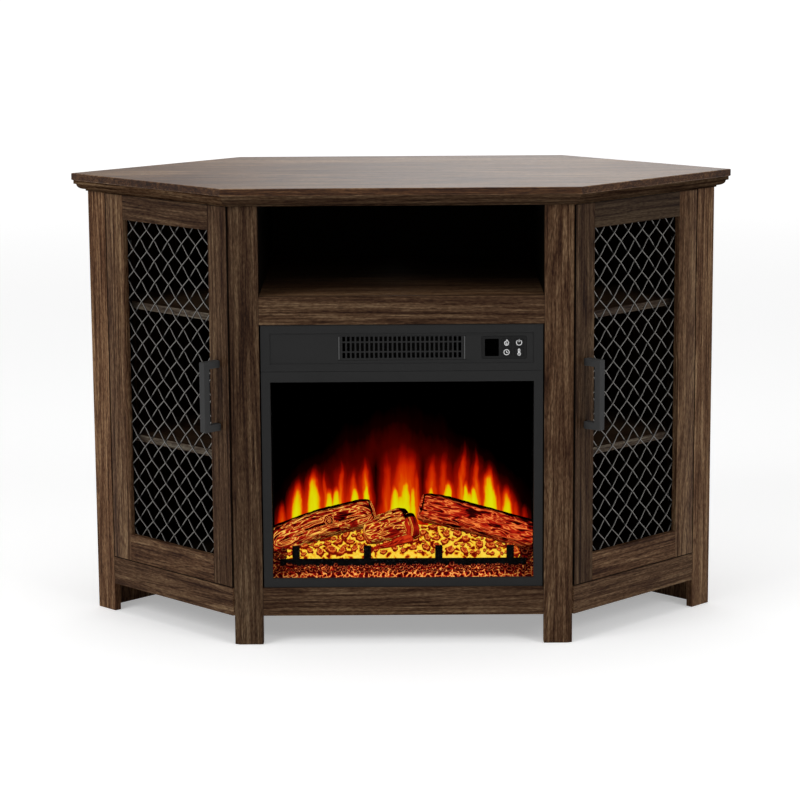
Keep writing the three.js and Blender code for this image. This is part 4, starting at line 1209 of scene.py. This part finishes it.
def studio():
    """Even ambient light, a white backdrop, and in reflections a backdrop that is brighter to the right."""
    world = bpy.data.worlds.new("studio")
    bpy.context.scene.world = world
    s = Shade("studio", world)
    path = s.node("LightPath").outputs
    sideways = s.split(s.node("TexCoord").outputs["Generated"])[0]
    mirrored = s.curve(s.scaled(sideways, SKY_SPREAD, 0.5), SKY)
    mirrored = s.times(s.times(mirrored, SKY_PEAK), path["Is Glossy Ray"])
    seen = s.math("MAXIMUM", path["Is Camera Ray"], path["Is Transmission Ray"])
    strength = s.math("MAXIMUM", s.math("MAXIMUM", seen, mirrored), AMBIENT)
    s.put(s.out.inputs[0], s.node("Background", {0: (1, 1, 1, 1), 1: strength}))
    for name, sizes in LIGHTS.items():
        area_light(name, *sizes)


def floor():
    s = Shade("floor_white")
    cloud = s.noise(s.place(), 1.2, 2.0)
    tone = s.scaled(cloud, 0.02, FLOOR_TONE)
    diffuse = s.node("BsdfDiffuse", {"Color": s.dimmed(tone, (1, 1, 1, 1))})
    away = s.vector("LENGTH", s.place())["Value"]
    glow = s.curve(s.times(away, 0.1), [(0.12, FLOOR_GLOW_NEAR), (0.8, FLOOR_GLOW_FAR)])
    path = s.node("LightPath").outputs
    seen = s.math("MAXIMUM", path["Is Camera Ray"], path["Is Glossy Ray"])
    shine = s.node("Emission", {"Color": (1, 1, 1, 1), "Strength": s.times(glow, seen)})
    s.put(s.out.inputs[0], s.node("AddShader", {0: diffuse, 1: shine}))
    half = FLOOR_HALF
    corners = [(-half, -half, 0), (half, -half, 0), (half, half, 0), (-half, half, 0)]
    mesh = mesh_from("floor", corners, [(0, 1, 2, 3)])
    mesh.materials.append(s.material)
    ground = in_scene("floor", mesh)
    ground.location.z = -FLOOR_DROP


# Assembly
BOARD_WORDS, BOARD_EASE = ("leg_", "stile_", "rail", "shelf", "partition"), 0.5 * MM
HANDLE_EASE_MM, HINGE_EASE_MM = 1.4, 0.4
# Finish of each CAD piece of the insert that the scene keeps, and its round edges in millimetres
INSERT_FINISHES = {
    "trim_frame": (CHARCOAL, 0.3), "outlet_grille": (CHARCOAL, 0.3), "control_plate": (PLATE, 0.3),
    "flame_key": (PLATE, 0.3), "power_key": (PLATE, 0.3), "timer_key": (PLATE, 0.3), "heat_key": (PLATE, 0.3),
    "casing": (BLACK, 0), "fire_grate": (GRATE, 0.5), "flame_rotor": (FOIL, 0), "blower_wheel": (BLOWER, 0),
    "heating_element": (CERAMIC, 0), "power_inlet": (RUBBER, 0),
    "flame_screen": (flame_material(), 0), "glass_panel": (clear_glass(), 0),
}

camera()
studio()
floor()

finish_boards()
for node in NODES:
    if any(word in node for word in BOARD_WORDS):
        soften_edges(node, BOARD_EASE)
crown()

for hand, sign in HANDS.items():
    dress("door_handle_" + hand, HANDLE, HANDLE_EASE_MM, 3)
    for level in ("upper", "lower"):
        for part in ("cup", "arm"):
            dress(f"{level}_hinge_{part}_{hand}", NICKEL, HINGE_EASE_MM)
    wire_mesh(hand, sign)

for node, (material, ease_mm) in INSERT_FINISHES.items():
    dress(node, material, ease_mm)
control_panel()
log_set()
ember_bed()
coals()
